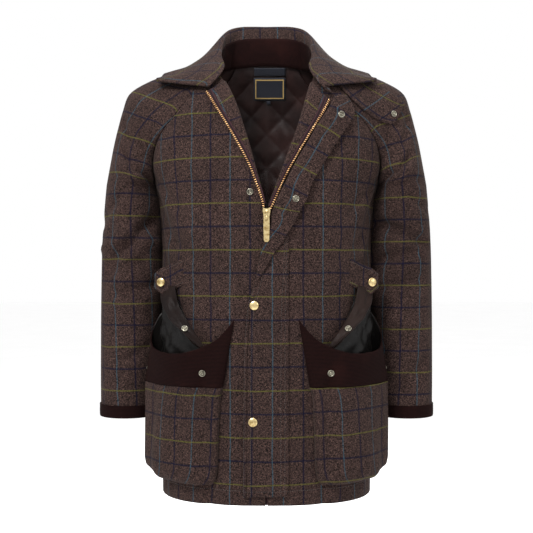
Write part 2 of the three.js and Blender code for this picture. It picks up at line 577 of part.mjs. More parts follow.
// Cuff bindings: corduroy round each sleeve end, folded over its rim
const CUFF_TALL = 20;
for (const side of [RIGHT, LEFT]) {
  const rounds = SLEEVE_COLUMNS.slice(0, -1);
  const height = (z) => read(SLEEVE, 't', 'z', z);
  const place = (round, z, off) => {
    const t = Math.max(0, height(Math.max(z, CUFF_Z)));
    const p = sleeveBare(t, round);
    const [a, b] = [sleeveBare(t, Math.max(0, round - 0.02)), sleeveBare(t, Math.min(2, round + 0.02))];
    const n = b.sub(a).cross(v3(0, 0, 1)).normalize();
    return forSide(side, p.setZ(z).addScaledVector(n, off));
  };
  const section = [[CUFF_Z + CUFF_TALL, 0.5], [CUFF_Z - 0.6, 0.5], [CUFF_Z - 0.6, -CLOTH - 0.5],
    [CUFF_Z + CUFF_TALL, -CLOTH - 0.6], [CUFF_Z + CUFF_TALL, -CLOTH - 2.1], [CUFF_Z - 2.2, -CLOTH - 1.7],
    [CUFF_Z - 2.2, 1.6], [CUFF_Z + CUFF_TALL, 2]];
  add(`cuff_${word(side)}`, solidFromRings(rounds.map((round) => section.map(([z, off]) => place(round, z, off))), true), CORDUROY);
}

// Storm flap: sewn to the wearer's left front, closed over the zip below and folded back above
const FLAP_WIDE = 73;
const FLAP = [
  { z: -98, fold: 114, edge: 133 },
  { z: -115, fold: 106, edge: 143 },
  { z: -129, fold: 98, edge: 145 },
  { z: -150, fold: 84.5, edge: 133 },
  { z: -171, fold: 73, edge: 119 },
  { z: -190, fold: 61.5, edge: 107 },
  { z: -209, fold: 50.5, edge: 96 },
  { z: -227, fold: 41, edge: 85 },
  { z: -245, fold: 32, edge: 74 },
  { z: -273, fold: 18.5, edge: 65 },
  { z: -287, fold: 12.5, edge: 57 },
  { z: -300, fold: 9.5, edge: 51 },
  { z: -315, fold: 8.5, edge: 43 },
  { z: -330, fold: 2, edge: 34 },
  { z: -347, fold: -4, edge: 24 },
  { z: -366, fold: -9, edge: 10 },
  { z: -393, fold: -15, edge: -5 },
  { z: -416, fold: -20, edge: -15 },
  { z: -442, fold: -28, edge: -28 },
  { z: -470, fold: -32, edge: -32 },
  { z: -520, fold: -35, edge: -35 },
  { z: -620, fold: -36.5, edge: -36.5 },
  { z: -720, fold: -37, edge: -37 },
  { z: -760, fold: -37, edge: -37 },
];
const flapRings = FLAP.map(({ z, fold, edge }) => {
  const over = edge - fold;
  const seam = Math.min(fold + FLAP_WIDE - over, Math.max(edge - 12, 36));
  const rise = (x) => 1.9 + 1.5 * smooth((seam - x) / 12);
  const under = [0, 0.2, 0.45, 0.7, 0.9].map((u) => {
    const x = mix(seam, fold + Math.min(3, over * 0.3), u);
    return [x, rise(x)];
  });
  // where nothing is folded back the nose and the top layer lie flat in the last stretch
  const open = smooth(over / 12);
  const nose = [[0.6, 0.3], [0, 1.7], [0.8, 3.1]].map(([dx, dh], i) => [fold + mix([5.6, 4.2, 3][i], dx, open), mix(3.4, 3.4 + dh, open)]);
  const top = [0.25, 0.6, 1].map((u, i) => [mix(fold + mix([1.9, 0.9, 0][i], 0.8, open), edge, u * open + (1 - open) * 0),
    mix(3.4, 6.9 + (i === 1 ? 0.7 : 0), open)]);
  return ribbon([...under, ...nose, ...top], 2.6).map(([x, h]) => onFront(x || 0.001, z, h));
});
add('storm_flap', solidFromRings(flapRings), TWEED);

// Collar: each row runs from the neck seam up the stand, over the crest and down to the outer edge
const COLLAR = [
  { u: 0, crestX: 0, crestY: 100, crestZ: 71, edgeX: 0, edgeY: 136, edgeZ: -16, wide: 15 },
  { u: 0.1, crestX: 24, crestY: 98, crestZ: 71, edgeX: 34, edgeY: 134, edgeZ: -17, wide: 15 },
  { u: 0.2, crestX: 48, crestY: 92, crestZ: 69, edgeX: 68, edgeY: 127, edgeZ: -19, wide: 15 },
  { u: 0.3, crestX: 68, crestY: 78, crestZ: 61, edgeX: 97, edgeY: 114, edgeZ: -24, wide: 14 },
  { u: 0.4, crestX: 80, crestY: 58, crestZ: 47, edgeX: 124, edgeY: 94, edgeZ: -31, wide: 13 },
  { u: 0.5, crestX: 86, crestY: 35, crestZ: 31, edgeX: 146, edgeY: 66, edgeZ: -37, wide: 12 },
  { u: 0.6, crestX: 87, crestY: 10, crestZ: 14, edgeX: 163, edgeY: 34, edgeZ: -41, wide: 11 },
  { u: 0.7, crestX: 87, crestY: -18, crestZ: -4, edgeX: 176, edgeY: 0, edgeZ: -45, wide: 10 },
  { u: 0.8, crestX: 85, crestY: -52, crestZ: -27, edgeX: 183, edgeY: -30, edgeZ: -50, wide: 9 },
  { u: 0.88, crestX: 83, crestY: -79, crestZ: -46, edgeX: 188, edgeY: -52, edgeZ: -56, wide: 8 },
  { u: 0.94, crestX: 92, crestY: -97, crestZ: -64, edgeX: 190, edgeY: -66, edgeZ: -60, wide: 7 },
  { u: 1, crestX: 106, crestY: -106, crestZ: -80, edgeX: 189, edgeY: -74, edgeZ: -65, wide: 6 },
];
const COLLAR_FRONT = 0.8; // from here on the collar is rolled out with the lapel
const necklines = {};
for (const side of [RIGHT, LEFT]) {
  const places = [];
  const take = (grid, out, columns) => columns.forEach((j) => {
    const last = grid.length - 1;
    const up = grid[last][j].clone().sub(grid[last - 1][j]).normalize();
    places.push({ p: grid[last][j].clone().addScaledVector(out[last][j], -CLOTH / 2), up, n: out[last][j] });
  });
  const count = (from, to) => Array.from({ length: Math.abs(to - from) + 1 }, (_, i) => from + i * Math.sign(to - from));
  take(back, backOut, count(backEnd / 2, backEnd));
  take(sleeves[side], sleeveOut[side], count(sleeveEnd - 1, 1));
  take(fronts[side], frontOut[side], count(frontEnd, 0));
  let length = 0;
  places.forEach((place, i) => {
    length += i ? place.p.distanceTo(places[i - 1].p) : 0;
    place.s = length;
  });
  places.forEach((place) => { place.s /= length; });
  necklines[side] = places;
}
function neckAt(s, side) {
  const places = necklines[side];
  const i = Math.max(1, places.findIndex((place) => place.s >= s - 1e-9));
  const [a, b] = [places[i - 1], places[i]];
  const t = (s - a.s) / (b.s - a.s);
  return { p: a.p.clone().lerp(b.p, t), up: a.up.clone().lerp(b.up, t).normalize() };
}
const COLLAR_T = [0, 0.08, 0.2, 0.33, 0.44, 0.52, 0.61, 0.73, 0.86, 1];
const lapelSeam = (v, side) => {
  const [top, end] = [LAPEL[side][8], LAPEL[side][8]];
  const x = mix(top.rollX, end.zipX, v);
  const z = mix(top.rollZ + 4, end.zipZ + 0.5, v);
  return onFront(x, z, 4.4 + 4.2 * Math.sin(Math.PI * Math.min(1, v * 1.4) * 0.5));
};
function collarPoint(u, v, side) {
  const s = Math.abs(u);
  const at = (column) => read(COLLAR, column, 'u', s);
  const neck = neckAt(Math.min(1, s / COLLAR_FRONT), side);
  const start = neck.p.clone().addScaledVector(neck.up, 2.9);
  if (s > COLLAR_FRONT) start.lerp(lapelSeam((s - COLLAR_FRONT) / (1 - COLLAR_FRONT), side), smooth((s - COLLAR_FRONT) / 0.04));
  const [crest, edge] = [v3(at('crestX'), at('crestY'), at('crestZ')), v3(at('edgeX'), at('edgeY'), at('edgeZ'))];
  const middle = crest.clone().multiplyScalar(8).sub(start).sub(edge).divideScalar(6);
  const across = edge.clone().sub(start).setZ(0).setLength(at('wide'));
  const p = bezier(start, middle.clone().sub(across), middle.clone().add(across), edge, v);
  return p;
}
const collarUs = [...range(0, 0.7, 7), 0.75, 0.8, 0.84, 0.88, 0.92, 0.96, 1];
const allUs = [...collarUs.slice(1).map((u) => -u).reverse(), ...collarUs];
const collarGrid = allUs.map((u) => COLLAR_T.map((v) => {
  const side = u < 0 ? RIGHT : LEFT;
  const p = collarPoint(u, v, side);
  const clear = v > 0.5 ? settle(p, side, 2.4 + 2 * (v - 0.5)) : p;
  return forSide(side, clear);
}));
add('collar', wall(collarGrid, 1.3, -1.3), TWEED);


// Neck band: corduroy on the inside of the collar stand, across the back of the neck
const bandVs = [0.03, 0.08, 0.2, 0.22];
const bandGrid = range(-0.6, 0.6, 12).map((u) => bandVs.map((v) => {
  const side = u < 0 ? RIGHT : LEFT;
  return forSide(side, collarPoint(u, v, side));
}));
add('neck_band', wall(bandGrid, -2.6, -4), CORDUROY);

// Quilted satin lining inside the back, seen through the open neck
const DIAMOND = 65;
function quilt({ x, z }) {
  const [a, b] = [x * 1.05 + z, x * 1.05 - z].map((d) => Math.abs(Math.sin((Math.PI * d) / DIAMOND)));
  return 2.4 * Math.min(1, 1.6 * Math.min(a, b));
}
const QUILT_FROM = LOW_ROWS.indexOf(-390);
// on the rows and columns of the back, so that its facets run beside those of the back
const liningGrid = back.slice(QUILT_FROM).map((row, i) => row.slice(2, backEnd - 1)
  .map((p, j) => ({ p, n: backOut[QUILT_FROM + i][j + 2] })));
const liningTop = liningGrid.length - 1;
liningGrid[liningTop].forEach((place, j) => { place.p = place.p.clone().lerp(liningGrid[liningTop - 1][j].p, 0.1); });
const liningLayer = (height) => liningGrid.map((row) => row.map(({ p, n }) => p.clone().addScaledVector(n, height(p))));
const liningOuter = liningLayer(() => -CLOTH - 2.2);
add('back_lining', solidFromRings(liningLayer((p) => -CLOTH - 3.4 - quilt(p))
  .map((row, i) => [...row, ...liningOuter[i].slice().reverse()]), false, true), LINING);

// Labels sewn to the lining, left bare
const labelPlate = (x0, x1, z0, z1, deep) => layer(range(z0, z1, 2), range(x0, x1, 4),
  (z, x, h) => onBody(angleAt(x || 0.001, z, true), z, h), () => deep - 0.9, () => deep);
add('label', labelPlate(-25, 37, -64, -22, -CLOTH - 6.8), LABEL);
add('label_upper', labelPlate(-24, 37, -19, -7, -CLOTH - 5.7), LABEL);

// Bellows pockets: a bag standing off the front, a corduroy band round its mouth
const POCKET_INNER = [
  { z: -748, x: 82 }, { z: -715, x: 80 }, { z: -667, x: 78 }, { z: -600, x: 75 },
  { z: -580, x: 70 }, { z: -508, x: 58 }, { z: -470, x: 52 }, { z: -430, x: 50 },
];
const POCKET_OUTER = rad(73.5);
const BAND_Z = -583;
const BAG_DEPTH = [
  { u: 0, deep: 2.6 }, { u: 0.008, deep: 10 }, { u: 0.05, deep: 15 }, { u: 0.25, deep: 21 }, { u: 0.5, deep: 25 },
  { u: 0.8, deep: 29.5 }, { u: 0.93, deep: 32.5 }, { u: 0.965, deep: 29 }, { u: 0.992, deep: 14 }, { u: 1, deep: 2.6 },
];
const MOUTH = [
  { u: 0, z: -472, deep: 3 }, { u: 0.008, z: -474, deep: 4 }, { u: 0.05, z: -487, deep: 7.5 }, { u: 0.12, z: -505, deep: 12 },
  { u: 0.25, z: -519, deep: 20 }, { u: 0.38, z: -527, deep: 27 }, { u: 0.5, z: -529, deep: 30 }, { u: 0.65, z: -527, deep: 31 },
  { u: 0.8, z: -523, deep: 29 }, { u: 0.93, z: -508, deep: 26 }, { u: 0.965, z: -492, deep: 22 }, { u: 0.992, z: -470, deep: 10 }, { u: 1, z: -462, deep: 3 },
];
const pocketUs = [0, 0.008, 0.05, 0.12, 0.25, 0.38, 0.5, 0.65, 0.8, 0.93, 0.965, 0.992, 1];
const bagZs = [-745, -743.5, -735, -712, -680, -645, -610, BAND_Z - SEAM];
const pocketPhi = (u, z) => mix(angleAt(read(POCKET_INNER, 'x', 'z', z), z), POCKET_OUTER, u);
const bagDeep = (u, z) => {
  const floor = z < -744 ? 0 : z < -742 ? 0.7 : 1;
  return 2.6 + (read(BAG_DEPTH, 'deep', 'u', u) - 2.6) * floor;
};
const bandAt = (u, v) => {
  const z = mix(BAND_Z + SEAM, read(MOUTH, 'z', 'u', u), v);
  return { z, deep: mix(bagDeep(u, BAND_Z), read(MOUTH, 'deep', 'u', u), smooth(v)) };
};
const POCKET_CLOTH = 2.2;
// the bag's floor rises towards the side seam
const bagZ = (u, z) => z + (12 * smooth((u - 0.68) / 0.32) * (BAND_Z - z)) / (BAND_Z + 745);
// the inside of the bag is its outside made one cloth smaller
const within = (u) => mix(POCKET_CLOTH / 140, 1 - POCKET_CLOTH / 140, u);
const lifted = (z) => POCKET_CLOTH * smooth((-715 - z) / 25);
const shell = (rows, place) => solidFromRings(rows.map((row) => [
  ...pocketUs.map((u) => place(row, u, u, 0)), ...pocketUs.map((u) => place(row, u, within(u), POCKET_CLOTH)).reverse()]));
for (const side of [RIGHT, LEFT]) {
  add(`pocket_${word(side)}`, shell(bagZs, (z, u, at, cloth) => forSide(side,
    onBody(pocketPhi(at, z), bagZ(at, z) + (cloth ? lifted(z) : 0), bagDeep(u, z) - cloth))), TWEED);
  add(`pocket_band_${word(side)}`, shell(range(0, 1, 5), (v, u, at, cloth) => {
    const { z, deep } = bandAt(u, v);
    return forSide(side, onBody(pocketPhi(at, z), z, deep - cloth));
  }), CORDUROY);
}

// The satin-lined flap of each pocket, pushed down into its mouth, and the lining that shows below it
const FLAP_SPINE = [
  { t: 0, x: 153, z: -431, deep: 0.7, wide: 23, bow: 0 },
  { t: 1, x: 150, z: -446, deep: 8, wide: 24, bow: 5 },
  { t: 2, x: 142, z: -464, deep: 14, wide: 23, bow: 8 },
  { t: 3, x: 129, z: -483, deep: 17, wide: 22, bow: 8 },
  { t: 4, x: 116, z: -502, deep: 13, wide: 19, bow: 5 },
  { t: 5, x: 105, z: -520, deep: 6.5, wide: 14, bow: 1.5 },
];
const LINER = [
  { t: 0, z: -548, from: 98, deep: 6 }, { t: 1, z: -530, from: 96, deep: 5 }, { t: 2, z: -510, from: 110, deep: 3 },
  { t: 3, z: -488, from: 124, deep: 3 }, { t: 4, z: -464, from: 138, deep: 3 }, { t: 5, z: -442, from: 148, deep: 2.6 },
];
const laid = (x, z, side, height) => {
  const { p, n } = frontHit(x, z, side);
  return forSide(side, p.addScaledVector(n, height));
};
const flapPoint = (t, a, h, side) => {
  const at = (column) => read(FLAP_SPINE, column, 't', t);
  const [x, z] = [at('x') + a * at('wide') * 0.86, at('z') + a * at('wide') * 0.5 * Math.min(1, t)];
  const ripple = -2 * Math.cos(2.4 * a + t) * Math.min(1, t);
  return laid(x, z, side, at('deep') + at('bow') * (1 - a * a) + ripple + h);
};
for (const side of [RIGHT, LEFT]) {
  add(`pocket_flap_${word(side)}`, layer(range(0, 5, 8), range(-1, 1, 6), (t, a, h) => flapPoint(t, a, h, side),
    () => 0, () => 2.4), SATIN);
  add(`pocket_liner_${word(side)}`, layer(range(0, 5, 6), range(0, 1, 6), (t, u, h) => {
    const at = (column) => read(LINER, column, 't', t);
    const x = bodyBare(mix(angleAt(at('from'), at('z')), rad(69), u), at('z')).x;
    return laid(x, at('z'), side, (0.7 + u * (at('deep') + 1.6 + 1.6 * Math.sin(9 * u + 1.7 * t)) + h));
  }, () => 0, () => 1), SATIN);
}

// Waist tabs above the pockets, each sewn down at its inner end, standing clear of the side and
// held by a snap, and the throat tab under the left collar
const TAB = [
  { l: 0, x: 140, y: -104, top: -371, foot: -415 }, { l: 0.3, x: 155, y: -94.5, top: -377, foot: -423 },
  { l: 0.5, x: 165, y: -89, top: -382, foot: -428 }, { l: 0.72, x: 177, y: -83.5, top: -388.5, foot: -431.5 },
  { l: 0.86, x: 184, y: -81, top: -392, foot: -426 }, { l: 1, x: 191, y: -79, top: -396, foot: -421 },
];
const tabPlace = (l, z, h, side) => {
  const [x, y] = ['x', 'y'].map((column) => read(TAB, column, 'l', l));
  const [dx, dy] = ['x', 'y'].map((column) => read(TAB, column, 'l', Math.min(1, l + 0.05)) - read(TAB, column, 'l', Math.max(0, l - 0.05)));
  const free = v3(x, y, z).addScaledVector(v3(dy, -dx, 0).normalize(), h);
  if (l >= 0.3) return forSide(side, free);
  const { p, n } = frontHit(x, z, side);
  return forSide(side, p.addScaledVector(n, 0.7 + h).lerp(free, smooth(l / 0.3)));
};
for (const side of [RIGHT, LEFT]) {
  add(`waist_tab_${word(side)}`, layer([0, 0.14, 0.3, 0.5, 0.72, 0.86, 1], range(0, 1, 3), (l, w, h) => (
    tabPlace(l, mix(read(TAB, 'foot', 'l', l), read(TAB, 'top', 'l', l), w), h, side)
  ), () => 0, () => 2.6), TWEED);
}
const THROAT = [
  { l: 0, lowX: 122, lowZ: -76, highX: 158, highZ: -52 }, { l: 0.25, lowX: 143, lowZ: -101, highX: 180, highZ: -64 },
  { l: 0.5, lowX: 166, lowZ: -119, highX: 202, highZ: -76 }, { l: 0.75, lowX: 192, lowZ: -134, highX: 224, highZ: -88 },
  { l: 0.95, lowX: 214, lowZ: -139, highX: 238, highZ: -97 }, { l: 1, lowX: 221, lowZ: -137, highX: 240, highZ: -101 },
];
const throatHits = range(0, 1, 8).map((l) => range(0, 1, 4).map((w) => {
  const at = (column) => read(THROAT, column, 'l', l);
  return frontHit(mix(at('lowX'), at('highX'), w), mix(at('lowZ'), at('highZ'), w), LEFT);
}));
const throatLayer = (height) => throatHits.map((row) => row.map(({ p, n }) => p.clone().addScaledVector(n, height)));
const throatUnder = throatLayer(1.5);
add('throat_tab', solidFromRings(throatLayer(4.1).map((row, i) => [...row, ...throatUnder[i].slice().reverse()])), TWEED);

// Snaps and caps: a round profile standing on the cloth
function turned(profile, p, n, sides = 10) {
  const u = Math.abs(n.z) > 0.9 ? v3(1, 0, 0) : v3(0, 0, 1);
  u.addScaledVector(n, -u.dot(n)).normalize();
  const w = v3(0, 0, 0).crossVectors(n, u);
  const rings = Array.from({ length: sides }, (_, i) => profile.map(([r, h]) => p.clone()
    .addScaledVector(u, r * Math.cos((2 * Math.PI * i) / sides)).addScaledVector(w, r * Math.sin((2 * Math.PI * i) / sides)).addScaledVector(n, h)));
  const position = [];
  const index = [];
  rings.forEach((ring) => ring.forEach((q) => position.push(q.x, q.y, q.z)));
  const count = profile.length;
  for (let i = 0; i < sides; i++) {
    const [a, b] = [i * count, ((i + 1) % sides) * count];
    for (let j = 0; j < count - 1; j++) index.push(a + j, b + j, b + j + 1, a + j, b + j + 1, a + j + 1);
  }
  const [low, high] = [profile[0][1], profile[count - 1][1]].map((h) => p.clone().addScaledVector(n, h));
  const at = position.length / 3;
  position.push(low.x, low.y, low.z, high.x, high.y, high.z);
  for (let i = 0; i < sides; i++) {
    const [a, b] = [i * count, ((i + 1) % sides) * count];
    index.push(at, b, a, at + 1, a + count - 1, b + count - 1);
  }
  return closed(position, index);
}
const CAP_PROFILE = [[6.4, 0], [7.6, 0.7], [7.4, 1.8], [4.4, 3]];
const SOCKET_PROFILE = [[5.8, 0], [5.6, 1.3], [2.3, 1], [1.2, 2.2]];
const SMALL_PROFILE = [[2.3, 0], [2.6, 0.6], [1.4, 1.3]];
const snap = (name, place, side, profile, material) => {
  const [a, b, c] = [place(0, 0), place(2, 0), place(0, 2)];
  const n = b.clone().sub(a).cross(c.clone().sub(a)).normalize();
  if (n.y > 0) n.negate();
  add(name, turned(profile, a, n), material);
};
const frontPlace = (x, z, off, side = LEFT) => (dx, dz) => forSide(side, onFront(x + dx, z + dz, off));
snap('cap_upper', frontPlace(-20, -448, 5.1), LEFT, CAP_PROFILE, BRASS);
snap('cap_lower', frontPlace(-22, -638, 5.1), LEFT, CAP_PROFILE, BRASS);
snap('front_stud', frontPlace(27, -261, 0.5, RIGHT), RIGHT, SOCKET_PROFILE, NICKEL);
snap('flap_socket_lower', frontPlace(47, -273, 9.4), LEFT, SOCKET_PROFILE, NICKEL);
snap('flap_socket_upper', frontPlace(122, -132, 9.4), LEFT, SOCKET_PROFILE, NICKEL);
const throatAt = (x, z) => { const { p, n } = frontHit(x, z, LEFT); return p.addScaledVector(n, 4.7); };
snap('throat_socket', (dx, dz) => throatAt(218 + dx, -121 + dz), LEFT, SOCKET_PROFILE, NICKEL);
for (const side of [RIGHT, LEFT]) {
  const onBag = (u, z, off) => (dx, dz) => {
    const v = (z + dz - BAND_Z) / (read(MOUTH, 'z', 'u', u) - BAND_Z);
    const q = u + dx / 165;
    const { deep } = bandAt(q, v);
    return forSide(side, onBody(pocketPhi(q, z + dz), z + dz, deep + off));
  };
  snap(`pocket_stud_${word(side)}`, onBag(0.2, -559, 0.6), side, SOCKET_PROFILE, NICKEL);
  snap(`pocket_side_stud_${word(side)}`, onBag(0.94, -559, 1.4), side, SMALL_PROFILE, NICKEL);
  snap(`pocket_flap_socket_${word(side)}`, (dx, dz) => flapPoint(2.9 - dz / 19, -0.5 + dx / 20, 2.8, side), side, SOCKET_PROFILE, NICKEL);
  snap(`tab_cap_${word(side)}`, (dx, dz) => tabPlace(0.755 + dx / 51, -410.6 + dz, 3.4, side), side, CAP_PROFILE, BRASS);
}

// Zip slider: a body over the teeth with a bridge on it, and the pull tab hung in the bridge
const SLIDER_Y = onFront(0.001, -300, 0).y;
const outline = (points, y0, y1) => prism([y0, y1].map((y) => points.map(([x, z]) => v3(x, SLIDER_Y - y, z))));
const sliderBody = [[-5.8, -287], [-6.3, -293], [-4.6, -303], [-4.2, -312], [4.2, -312], [4.6, -303], [6.3, -293], [5.8, -287], [2, -289], [-2, -289]];
// the bridge is one body with the slider: drawn as a profile in depth, then joined below
function sideOutline(points, x0, x1) {
  return prism([x0, x1].map((x) => points.map(([y, z]) => v3(x, SLIDER_Y - y, z))));
}
const arch = sideOutline([[6, -290], [10.4, -291], [12.6, -294], [12.6, -301], [10.4, -304], [6, -305],
  [6, -302.2], [9.4, -301.4], [10.9, -299.6], [10.9, -295.4], [9.4, -293.6], [6, -292.8]], -1.3, 1.3);
add('zip_slider', joined(outline(sliderBody, 0.5, 6.4), arch), BRASS);
const PULL_BAR = { y: 8.6, z: -299 };
const pullLean = (y, z) => SLIDER_Y - y - 0.09 * Math.max(0, -301 - z);
const pullPlate = prism([7.8, 9.4].map((y) => [[-4.6, -297.9], [-5, -318], [-4.4, -341], [-2.6, -344], [2.6, -344], [4.4, -341], [5, -318], [4.6, -297.9]]
  .map(([x, z]) => v3(x, pullLean(y, z), z))));
const pullHole = prism([6, 12].map((y) => [[-2.4, -299.9], [-2.4, -310], [2.4, -310], [2.4, -299.9]].map(([x, z]) => v3(x, SLIDER_Y - y, z))));
add('zip_pull', cut(pullPlate, pullHole), BRASS);

export default jacket;
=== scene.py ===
# %% [markdown]
# # A tweed field jacket
# The real jacket is wool tweed cut into a back, two fronts and two raglan sleeves, with a collar,
# a storm flap and two bellows pockets sewn on. Each piece of cloth here is a grid of points that
# follows the worn shape, given its thickness afterwards, so the neck, hem and cuffs stay open.

# %% Start from the jacket's CAD model
import math

import bmesh
import bpy
import numpy as np
from mathutils import Matrix, Vector
from mathutils.bvhtree import BVHTree


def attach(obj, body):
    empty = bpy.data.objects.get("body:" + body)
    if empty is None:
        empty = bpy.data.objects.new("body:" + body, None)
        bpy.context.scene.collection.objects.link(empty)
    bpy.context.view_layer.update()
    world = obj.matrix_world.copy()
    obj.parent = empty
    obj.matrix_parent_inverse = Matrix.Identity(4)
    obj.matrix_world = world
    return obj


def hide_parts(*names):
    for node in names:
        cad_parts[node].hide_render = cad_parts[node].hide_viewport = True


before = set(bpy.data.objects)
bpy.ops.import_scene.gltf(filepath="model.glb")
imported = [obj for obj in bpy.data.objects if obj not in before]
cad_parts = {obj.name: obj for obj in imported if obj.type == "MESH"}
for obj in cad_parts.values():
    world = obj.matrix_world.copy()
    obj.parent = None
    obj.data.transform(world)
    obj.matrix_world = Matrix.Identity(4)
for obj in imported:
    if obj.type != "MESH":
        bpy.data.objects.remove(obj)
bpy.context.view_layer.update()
MM = 0.001  # every size below is in millimetres
LEFT, RIGHT = 1, -1  # the wearer's left side is towards +X
SIDES = ((RIGHT, "right"), (LEFT, "left"))
print("CAD nodes:", len(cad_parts))

# %% [markdown]
# ## Camera, floor and light
# The photograph is a shop picture: the jacket straight from the front, at chest height, on white.
# A soft light from the upper left, weaker ones from the right, from above and from behind, and
# a bright sky do that.


# %% Camera and studio
def hex_colour(code):
    """sRGB hex to the linear colour that a shader socket takes"""
    parts = [int(code[i : i + 2], 16) / 255 for i in (0, 2, 4)]
    return [c / 12.92 if c <= 0.04045 else ((c + 0.055) / 1.055) ** 2.4 for c in parts] + [1.0]


VIEW_ANGLE, AWAY, EYE_LEVEL = 32.4, 1.65, -0.384  # degrees, then metres from the origin
scene = bpy.context.scene
eye = bpy.data.objects.new("camera", bpy.data.cameras.new("camera"))
eye.data.angle = math.radians(VIEW_ANGLE)
eye.location = (0, -AWAY, EYE_LEVEL)
eye.rotation_euler = (math.pi / 2, 0, 0)
scene.collection.objects.link(eye)
scene.camera = eye


def softbox(name, place, aim, wide, watts):
    lamp = bpy.data.objects.new(name, bpy.data.lights.new(name, "AREA"))
    lamp.data.shape, lamp.data.size, lamp.data.energy = "DISK", wide, watts
    lamp.location = place
    lamp.rotation_euler = (Vector(aim) - Vector(place)).to_track_quat("-Z", "Y").to_euler()
    scene.collection.objects.link(lamp)


softbox("key", (-0.8, -1.5, 1.0), (0, 0, -0.1), 0.7, 48)
softbox("fill", (1.6, -1.4, 0.4), (0, 0, -0.3), 1.2, 9)
softbox("top", (0.2, -0.2, 1.6), (0, 0, -0.3), 1.2, 20)
softbox("behind", (0.5, 2.1, 0.5), (0, 0, -0.3), 1.8, 40)
scene.world = bpy.data.worlds.new("studio")
scene.world.use_nodes = True
scene.world.node_tree.nodes["Background"].inputs["Color"].default_value = hex_colour("ffffff")
scene.world.node_tree.nodes["Background"].inputs["Strength"].default_value = 1.0
scene.view_settings.view_transform = "Standard"  # the photograph's white is plain white
print("camera lens", round(eye.data.lens, 1), "mm")

# %% [markdown]
# ## Finishes
# One small function adds a shader node with its settings and its inputs, and each finish is built
# from such nodes. Patterns on the cloth read the UV map "cut", which holds millimetres of cloth as
# metres: how far across and how far along the cut piece a point lies.


# %% Adding shader nodes
def add_node(tree, kind, settings=None, inputs=None):
    made = tree.nodes.new(kind)
    for key, value in (settings or {}).items():
        setattr(made, key, value)
    for key, value in (inputs or {}).items():
        if isinstance(value, bpy.types.NodeSocket):
            tree.links.new(value, made.inputs[key])
        else:
            made.inputs[key].default_value = value
    return made


class Finish:
    """A material, with the few shader steps that its pattern is built from"""

    def __init__(self, name):
        self.material = bpy.data.materials.new(name)
        self.material.use_nodes = True
        self.tree = self.material.node_tree
        self.surface = next(n for n in self.tree.nodes if n.type == "BSDF_PRINCIPLED")

    def maths(self, operation, *values):
        settings = {"operation": operation}
        return add_node(self.tree, "ShaderNodeMath", settings, dict(enumerate(values))).outputs[0]

    def noise(self, scale, detail=2.0, rough=0.5):
        place = add_node(self.tree, "ShaderNodeTexCoord").outputs["Object"]
        inputs = {"Vector": place, "Scale": scale, "Detail": detail, "Roughness": rough}
        return add_node(self.tree, "ShaderNodeTexNoise", None, inputs).outputs["Fac"]

    def mix(self, amount, one, other):
        inputs = {"Factor": amount, 6: one, 7: other}
        return add_node(self.tree, "ShaderNodeMix", {"data_type": "RGBA"}, inputs).outputs[2]

    def ramp(self, value, low, high, soft=True):
        kind = {"interpolation_type": "SMOOTHSTEP" if soft else "LINEAR"}
        inputs = {"Value": value, "From Min": low, "From Max": high}
        return add_node(self.tree, "ShaderNodeMapRange", kind, inputs).outputs[0]

    def tint(self, colour, pattern, low, high, share, code):
        """Lays a share of another colour over this one where the pattern is high"""
        amount = self.maths("MULTIPLY", self.ramp(pattern, low, high), share)
        return self.mix(amount, colour, hex_colour(code))

    def waves(self, along_it, every_mm):
        """Goes from -1 to 1 and back every so many millimetres"""
        return self.maths("SINE", self.maths("MULTIPLY", along_it, 2 * math.pi / (every_mm * MM)))

    def bump(self, height, strength, deep_mm):
        inputs = {"Height": height, "Strength": strength, "Distance": deep_mm * MM}
        made = add_node(self.tree, "ShaderNodeBump", None, inputs)
        self.tree.links.new(made.outputs[0], self.surface.inputs["Normal"])

    def cut(self):
        """How far across and how far along the cut piece a point lies"""
        place = add_node(self.tree, "ShaderNodeUVMap", {"uv_map": "cut"}).outputs[0]
        parts = add_node(self.tree, "ShaderNodeSeparateXYZ", None, {0: place})
        return parts.outputs[0], parts.outputs[1]

    def paint(self, colour):
        self.tree.links.new(colour, self.surface.inputs["Base Color"])

    def set(self, **values):
        for key, value in values.items():
            self.surface.inputs[key.replace("_", " ")].default_value = value


# %% [markdown]
# Tweed is a woollen twill. To the eye it is matt and mottled, because each yarn mixes light and
# dark wool, with a fuzzy nap that catches light at a grazing angle. The yarn is about 1.2 mm;
# the mottle is drawn at 2.3 mm so that it shows in the picture.

# %% Tweed
CHECK_ACROSS, CHECK_ALONG = 66.6 * MM, 77.0 * MM  # distance between two navy lines


